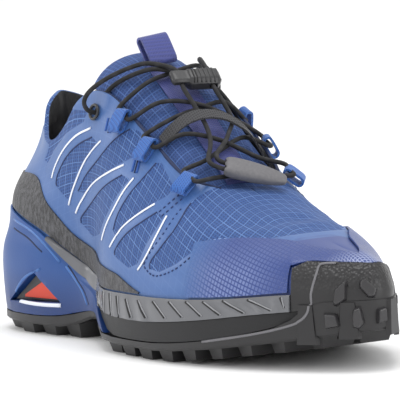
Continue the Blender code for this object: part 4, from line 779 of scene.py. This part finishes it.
long_half, wide_half = (max(abs((Vector(p) - lock_heart).dot(axis)) for p in places)
                        for axis in (lock_long, lock_wide))
ABOVE_LOCK, LOCK_STEPS = 30 * MM, 6


def across_lock(name, shares, radius, finish, flat):
    """Strips across the top of the lock, at shares of its half length."""
    routes, outs = [], []
    for share in shares:
        laid = []
        for step in range(-LOCK_STEPS, LOCK_STEPS + 1):
            start = (lock_heart + lock_long * (share * long_half) + lock_out * ABOVE_LOCK
                     + lock_wide * (step / (LOCK_STEPS + 0.5) * wide_half))
            laid.append(lock_wall.ray_cast(start, -lock_out)[:2])
        laid = [found for found in laid if found[0] is not None]
        routes.append([place for place, _ in laid])
        outs.append([out for _, out in laid])
    worn(tube(name, routes, radius, finish, 6, flat, outs), "fitting_plastic")


# Grip ribs moulded across the inner half of the lock, and the slit beside its sliding button
across_lock("lock_ribs", (0.22, 0.38, 0.54, 0.70, 0.86), 0.45 * MM, nylon, 0.9)
pit = material("shadow in the lock's slit", "#0C0C0D", 0.7)
across_lock("lock_slits", (-0.05, 0.06), 0.4 * MM, pit, 0.4)
for side in SIDES:
    dressed("eyelet_" + side, "top_ring_" + side, nylon, "fitting_plastic", 2, 0.0)
# Lozenge outline of the tab: full width at the middle, about half of it at the ends
TAB_WIDTH, END_NARROWING, ROUNDNESS = 1.08, 0.5, 2.2
tab = dressed("lace_toggle", "pull_tab", soft_tab, "fitting_plastic", 3, 0.25, 30)
places = places_of(tab)
centre = places.mean(axis=0)
axis = np.linalg.svd(places - centre, full_matrices=False)[2][0]
along = (places - centre) @ axis
spine = centre + along[:, None] * axis
narrowed = TAB_WIDTH * (1 - END_NARROWING * (np.abs(along) / np.abs(along).max()) ** ROUNDNESS)
reshape(tab, spine + (places - spine) * narrowed[:, None])


# The sole: a full-length dark foam, a blue foam cradle round the heel, grey ribbed rims that hold
# the upper, and one rubber moulding below that turns up over the toe, all bonded to one another.
def moulded(name, low_tone, high_tone, roughness, ior=1.45, depth_mm=0.05):
    """A moulded skin with faint clouding and a very fine grain."""
    made = material(name, low_tone, roughness, ior)
    place = node(made, "TexCoord", {}, "Object")
    clouds = node(made, "TexNoise", {"Vector": place, "Scale": 35.0, "Detail": 4.0})
    toned = node(made, "Mix", {0: clouds, 6: low_tone, 7: high_tone}, 2, data_type="RGBA")
    grain = node(made, "TexNoise", {"Vector": place, "Scale": 1400.0})
    shade(made, Base_Color=toned,
          Normal=node(made, "Bump", {"Height": grain, "Distance": depth_mm * MM}))
    return made


# EVA takes a smooth satin skin from the mould; the rims are glossier, and the rubber is satin.
dark_foam = moulded("moulded EVA foam, dark grey", "#101012", "#18181B", 0.5)
blue_foam = moulded("moulded EVA foam, blue", "#1B4282", "#27528F", 0.4)
grey_rim = moulded("moulded thermoplastic rim, grey", "#58595D", "#717276", 0.25, 1.5, 0.04)
rubber = moulded("moulded rubber, black", "#141315", "#1F1E20", 0.4, 1.52)
# The bumper's stipple, 1.5 mm apart, fades in above the sidewall; the cradle darkens downwards, a
# painted shade towards the floor.
place = node(rubber, "TexCoord", {}, "Object")
height = node(rubber, "SeparateXYZ", {0: place}, "Z")
high_up = node(rubber, "MapRange", {0: height, 1: 36 * MM, 2: 44 * MM})
stipple = node(rubber, "TexVoronoi", {"Vector": place, "Scale": 650.0}, "Distance")
stipple = node(rubber, "Math", {0: stipple, 1: high_up}, operation="MULTIPLY")
shade(rubber, Normal=node(rubber, "Bump", {"Height": stipple, "Distance": 0.5 * MM}))
# Painted shade: the cradle's colour darkens towards the floor.
toned = blue_foam.node_tree.nodes["Principled BSDF"].inputs["Base Color"].links[0].from_socket
height = node(blue_foam, "SeparateXYZ", {0: node(blue_foam, "TexCoord", {}, "Object")}, "Z")
painted_shade_low = node(blue_foam, "MapRange", {0: height, 1: 34 * MM, 2: 14 * MM})
toned = node(blue_foam, "Mix", {0: painted_shade_low, 6: toned, 7: "#14336B"}, 2, data_type="RGBA")
shade(blue_foam, Base_Color=toned)
dressed("midsole_core", "foam_core", dark_foam, "dark_foam", 1, 1.0, 35)
cradle_wall = surface_of(dressed("heel_cradle", "foam_cradle", blue_foam, "blue_foam", 2, 0.7, 35))
rim_walls = [
    surface_of(dressed("rib_band_" + side, "ribbed_rim_" + side, grey_rim, "grey_rim", 1, 1.0, 25))
    for side in SIDES]
tread_wall = surface_of(dressed("outsole", "tread", rubber, "tread_rubber", 0))


# Relief on the sole's sides: slanting slots in the rims drawn as painted shadow, with painted
# highlights on their lips, painted highlights and shade along the cradle's lines, and a painted
# highlight along the lip of the rubber toe bumper, with its five blocks.
LIP_BESIDE_SLOT = 1.9
RIB_SLOTS = (
    ((97, 292), (95.8, 312)), ((102.5, 291.5), (101.5, 315)), ((109, 293), (109.5, 317)),
    ((116, 296), (118.5, 318)), ((125, 299), (130, 317.5)), ((137, 300.5), (145, 318)),
    ((152, 301.5), (164, 318)), ((168, 302), (181, 317)), ((185, 302), (200, 316)),
    ((202, 302), (219, 315)), ((222, 301), (243, 313)), ((247, 300), (270, 310.5)),
    ((280, 297.5), (306, 305)))
RIB_LIP_HIGHLIGHTS = [[(u + LIP_BESIDE_SLOT, v) for u, v in line] for line in RIB_SLOTS]
# The slots are painted shadow; the lips and ridges are glossy painted highlights, and the creases
# painted shade.
slot_shade = material("shadow in a moulded slot", "#161618", 0.6)
slot_lip_highlight = material("painted highlight on a slot's lip, grey", "#8B8C90", 0.28)
ridge_highlight_blue = material("painted highlight along a cradle ridge, blue", "#3A67A8", 0.3)
lip_highlight_grey = material("painted highlight on the rubber bumper's lip, grey", "#68676B", 0.4)
laid_lines("rim_slots", RIB_SLOTS, 1.1, 0.05, slot_shade, "grey_rim", 0.4, rim_walls)
laid_lines("rim_lip_highlights", RIB_LIP_HIGHLIGHTS, 0.7, 0.1, slot_lip_highlight, "grey_rim", 0.6, rim_walls)
# Light lines of painted highlight along the cradle's ridges, and dark lines of painted shade beside
# its creases, in the binding's dark blue.
CRADLE_RIDGE_HIGHLIGHTS = (((14, 219), (30, 230), (46, 246), (60, 262)), ((40, 269), (24, 278), (19, 294)),
                 ((66, 266), (74, 278), (82, 291), (87, 305)))
CRADLE_CREASE_SHADES = (((14, 228), (28, 238), (42, 252)), ((68, 266), (76, 278), (84, 291), (89, 305)))
laid_lines("cradle_ridge_highlights", CRADLE_RIDGE_HIGHLIGHTS, 1.6, -0.1, ridge_highlight_blue, "blue_foam", 0.5,
           [cradle_wall] * 2)
laid_lines("cradle_crease_shades", CRADLE_CREASE_SHADES, 0.9, 0.0, binding_and_shade_lines, "blue_foam", 0.3,
           [cradle_wall] * 2)
# Painted highlight: a grey line along the lip of the black rubber toe bumper.
BUMPER_LIP_HIGHLIGHT = (((336, 263), (324, 263.5), (319, 266), (315.5, 276), (312.7, 286), (311, 299),
              (307.5, 312), (298, 322), (278, 329), (246, 335.5), (202, 342)),)
laid_lines("bumper_lip_highlight", BUMPER_LIP_HIGHLIGHT, 1.3, 0.1, lip_highlight_grey, "tread_rubber", 0.6, [tread_wall] * 2)


def plates(name, outlines, broken_edge, finish):
    """Closed plates, each between a front outline and a back one, with broken edges."""
    body = bmesh.new()
    for pair in outlines:
        front, back = ([body.verts.new(p) for p in outline] for outline in pair)
        body.faces.new(front)
        body.faces.new(back[::-1])
        for k in range(len(front)):
            n = (k + 1) % len(front)
            body.faces.new([front[k], back[k], back[n], front[n]])
    bmesh.ops.recalc_face_normals(body, faces=body.faces)
    bmesh.ops.bevel(body, geom=list(body.edges), offset=broken_edge, segments=2, affect="EDGES",
                    profile=0.5)
    return finished(body, name, finish)


# Raised blocks on the front of the bumper, 3.2 mm proud, drawn in to a smaller top
BUMPER_BLOCKS = (
    ((334.5, 289), (345.5, 278.2), (348.5, 279.5), (347.5, 301), (336, 308.5), (332.4, 306.4)),
    ((358, 280), (364, 276), (379, 289), (376, 299), (368.2, 299), (358, 288)),
    ((353, 307), (361, 304), (366.4, 323), (360, 330), (352.7, 329), (351.5, 316)),
    ((376.4, 308), (386, 305), (387, 322), (376, 325)),
    ((323, 312), (338, 313), (342, 327), (325, 330)),
)
BLOCK_HEIGHT, BLOCK_SINK, BLOCK_TOP = 3.2 * MM, 1.5 * MM, 0.72
# The blocks' rubber is drawn lighter than the bumper's, as painted light falling on the blocks.
lit_block_rubber = moulded("moulded rubber block, black, lightened as painted light", "#232224", "#363537", 0.3, 1.52, 0.1)
blocks = []
for outline in BUMPER_BLOCKS:
    ground = seen(outline, tread_wall)
    out = sum((tread_wall.find_nearest(p)[1] for p in ground), Vector()).normalized()
    heart = sum(ground, Vector()) / len(ground)
    blocks.append(([heart + (p - heart) * BLOCK_TOP + out * BLOCK_HEIGHT for p in ground],
                   [p - out * BLOCK_SINK for p in ground]))
worn(plates("bumper_blocks", blocks, 0.5 * MM, lit_block_rubber), "tread_rubber")


# The foot bed, lying loose inside the upper: a moulded foam under a black knitted polyester cover,
# which is matt and slightly fleecy.
sock = moulded("knitted polyester over foam, black", "#1E1E21", "#2C2C31", 0.85, 1.5, 0.3)
dressed("insole", "foot_bed", sock, "lining", 2, 0.8, 45)


# The rand round the lower quarter and the heel: a tough polyurethane film with a crackled print,
# welded over the ripstop. Its front ends taper down to the rim over their last 22 mm.
# The print is fine pale crackle over near black, about 1.5 mm across, drawn out upwards.
rand = material("crackled polyurethane film, grey", "#3A3A3D", 0.45)
place = node(rand, "TexCoord", {}, "Object")
drawn = node(rand, "Mapping", {"Vector": place, "Scale": (1.0, 1.0, 0.4)})
crackle = node(rand, "TexNoise", {"Vector": drawn, "Scale": 700.0, "Detail": 5.0, "Roughness": 0.7})
crackle = node(rand, "MapRange", {0: crackle, 1: 0.42, 2: 0.6})
toned = node(rand, "Mix", {0: crackle, 6: "#242427", 7: "#515155"}, 2, data_type="RGBA")
shade(rand, Base_Color=toned,
      Normal=node(rand, "Bump", {"Height": crackle, "Distance": 0.15 * MM}))
side_film = dressed("side_rand", "rand_film", rand, "rand_film", 2, 1.0, 50)
RAND_TAPER, RAND_FOOT, RAND_CURVE, RAND_SLICE = 22 * MM, 0.12, 1.3, 3 * MM
places = places_of(side_film)
tapered = places.copy()
for side, sign in SIDES.items():
    on_side = places[:, 1] * sign > 0
    start = places[on_side, 0].max() - RAND_TAPER
    taper = np.clip((places[:, 0] - start) / RAND_TAPER, 0, 1) * on_side
    for k in np.flatnonzero(taper > 0):
        x, y, z = places[k]
        foot = places[on_side & (np.abs(places[:, 0] - x) < RAND_SLICE), 2].min()
        lowered = foot + (z - foot) * (1 - (1 - RAND_FOOT) * taper[k] ** RAND_CURVE)
        was, new = (across_foot(Vector((x, y, at)), side, cloth_wall)[0].y for at in (z, lowered))
        tapered[k, 1:] = y + new - was, lowered
reshape(side_film, tapered)


# The guard over the toe box: a deep blue polyurethane film, welded over the ripstop and printed
# with 2 mm squares, which fade out towards the vamp, and with pale lines over the nose.
guard = material("printed polyurethane film, deep blue", "#293F7E", 0.36, Coat_Weight=0.15)
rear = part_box("toe_guard")[0].x / MM
PRINT_SHARES = {
    # axis, and where on it in millimetres the share is none and full
    "low": ("Z", 62, 44),
    "nose": ("X", 119, 131),
    "sides": ("X", 108, 90),
    "front": ("X", rear + 2, rear + 20),
}
stands = node(guard, "TexCoord", {}, "Object")
shares = {}
for name, (axis, none, full) in PRINT_SHARES.items():
    measure = node(guard, "SeparateXYZ", {0: stands}, axis)
    shares[name] = node(guard, "MapRange", {0: measure, 1: none * MM, 2: full * MM})
grid = grid_lines(guard, node(guard, "UVMap", {}, uv_map="surface"), 2.0, 0.6)
squares = node(guard, "Math", {0: 1.0, 1: grid}, operation="SUBTRACT")
printed, pale = squares, node(guard, "Math", {0: grid, 1: 0.75}, operation="MULTIPLY")
for name in ("low", "sides", "front"):
    printed = node(guard, "Math", {0: printed, 1: shares[name]}, operation="MULTIPLY")
pale = node(guard, "Math", {0: pale, 1: shares["nose"]}, operation="MULTIPLY")
ground = "#3C5F98"
for share, tone in ((shares["front"], "#293F7E"), (printed, "#6676A8"), (pale, "#9EA8CC")):
    ground = node(guard, "Mix", {0: share, 6: ground, 7: tone}, 2, data_type="RGBA")
shade(guard, Base_Color=ground,
      Normal=node(guard, "Bump", {"Height": squares, "Distance": 0.12 * MM}))
lay_cloth_map(dressed("toe_guard", "toe_film", guard, "toe_film", 2, 1.0, 50))


# The plates in the heel windows: moulded thermoplastic pressed into the foam cradle, with a red
# polyurethane film on the lower part and a white sill below.
# The plate is satin black, the film an even matt red and the sill smooth and white.
plate = moulded("moulded thermoplastic plate, black", "#26262A", "#303034", 0.4)
red_film = material("polyurethane film, red", "#C93A20", 0.5)
white_sill = material("moulded thermoplastic, white", "#DFE3EE", 0.4)
RED_FILM = ((26, 294), (49, 284), (58.6, 299.5), (26, 296.5))
SILL = ((20.5, 301), (33, 303.5), (47, 305), (61, 305.5))
FILM_THICKNESS = 0.5 * MM
for side, sign in SIDES.items():
    source = "heel_inset_" + side
    plate_wall = surface_of(dressed(source, "window_plate_" + side, plate, "red_film", 0))
    if side == "lateral":
        corners = seen(RED_FILM, plate_wall)
        sill = smooth_route(seen(SILL, cradle_wall), 6)
    proud = Vector((0, sign * FILM_THICKNESS, 0))
    front = [across_foot(p, side, plate_wall)[0] + proud for p in corners]
    back = [p - proud * 1.5 for p in front]
    worn(plates("window_film_" + side, [(front, back)], 0.15 * MM, red_film), "red_film")
    laid = [across_foot(p, side, cradle_wall) for p in sill]
    worn(tube("window_sill_" + side, [[p for p, _ in laid]], 1.0 * MM, white_sill, 8, 0.6,
              [[out for _, out in laid]]), "red_film")
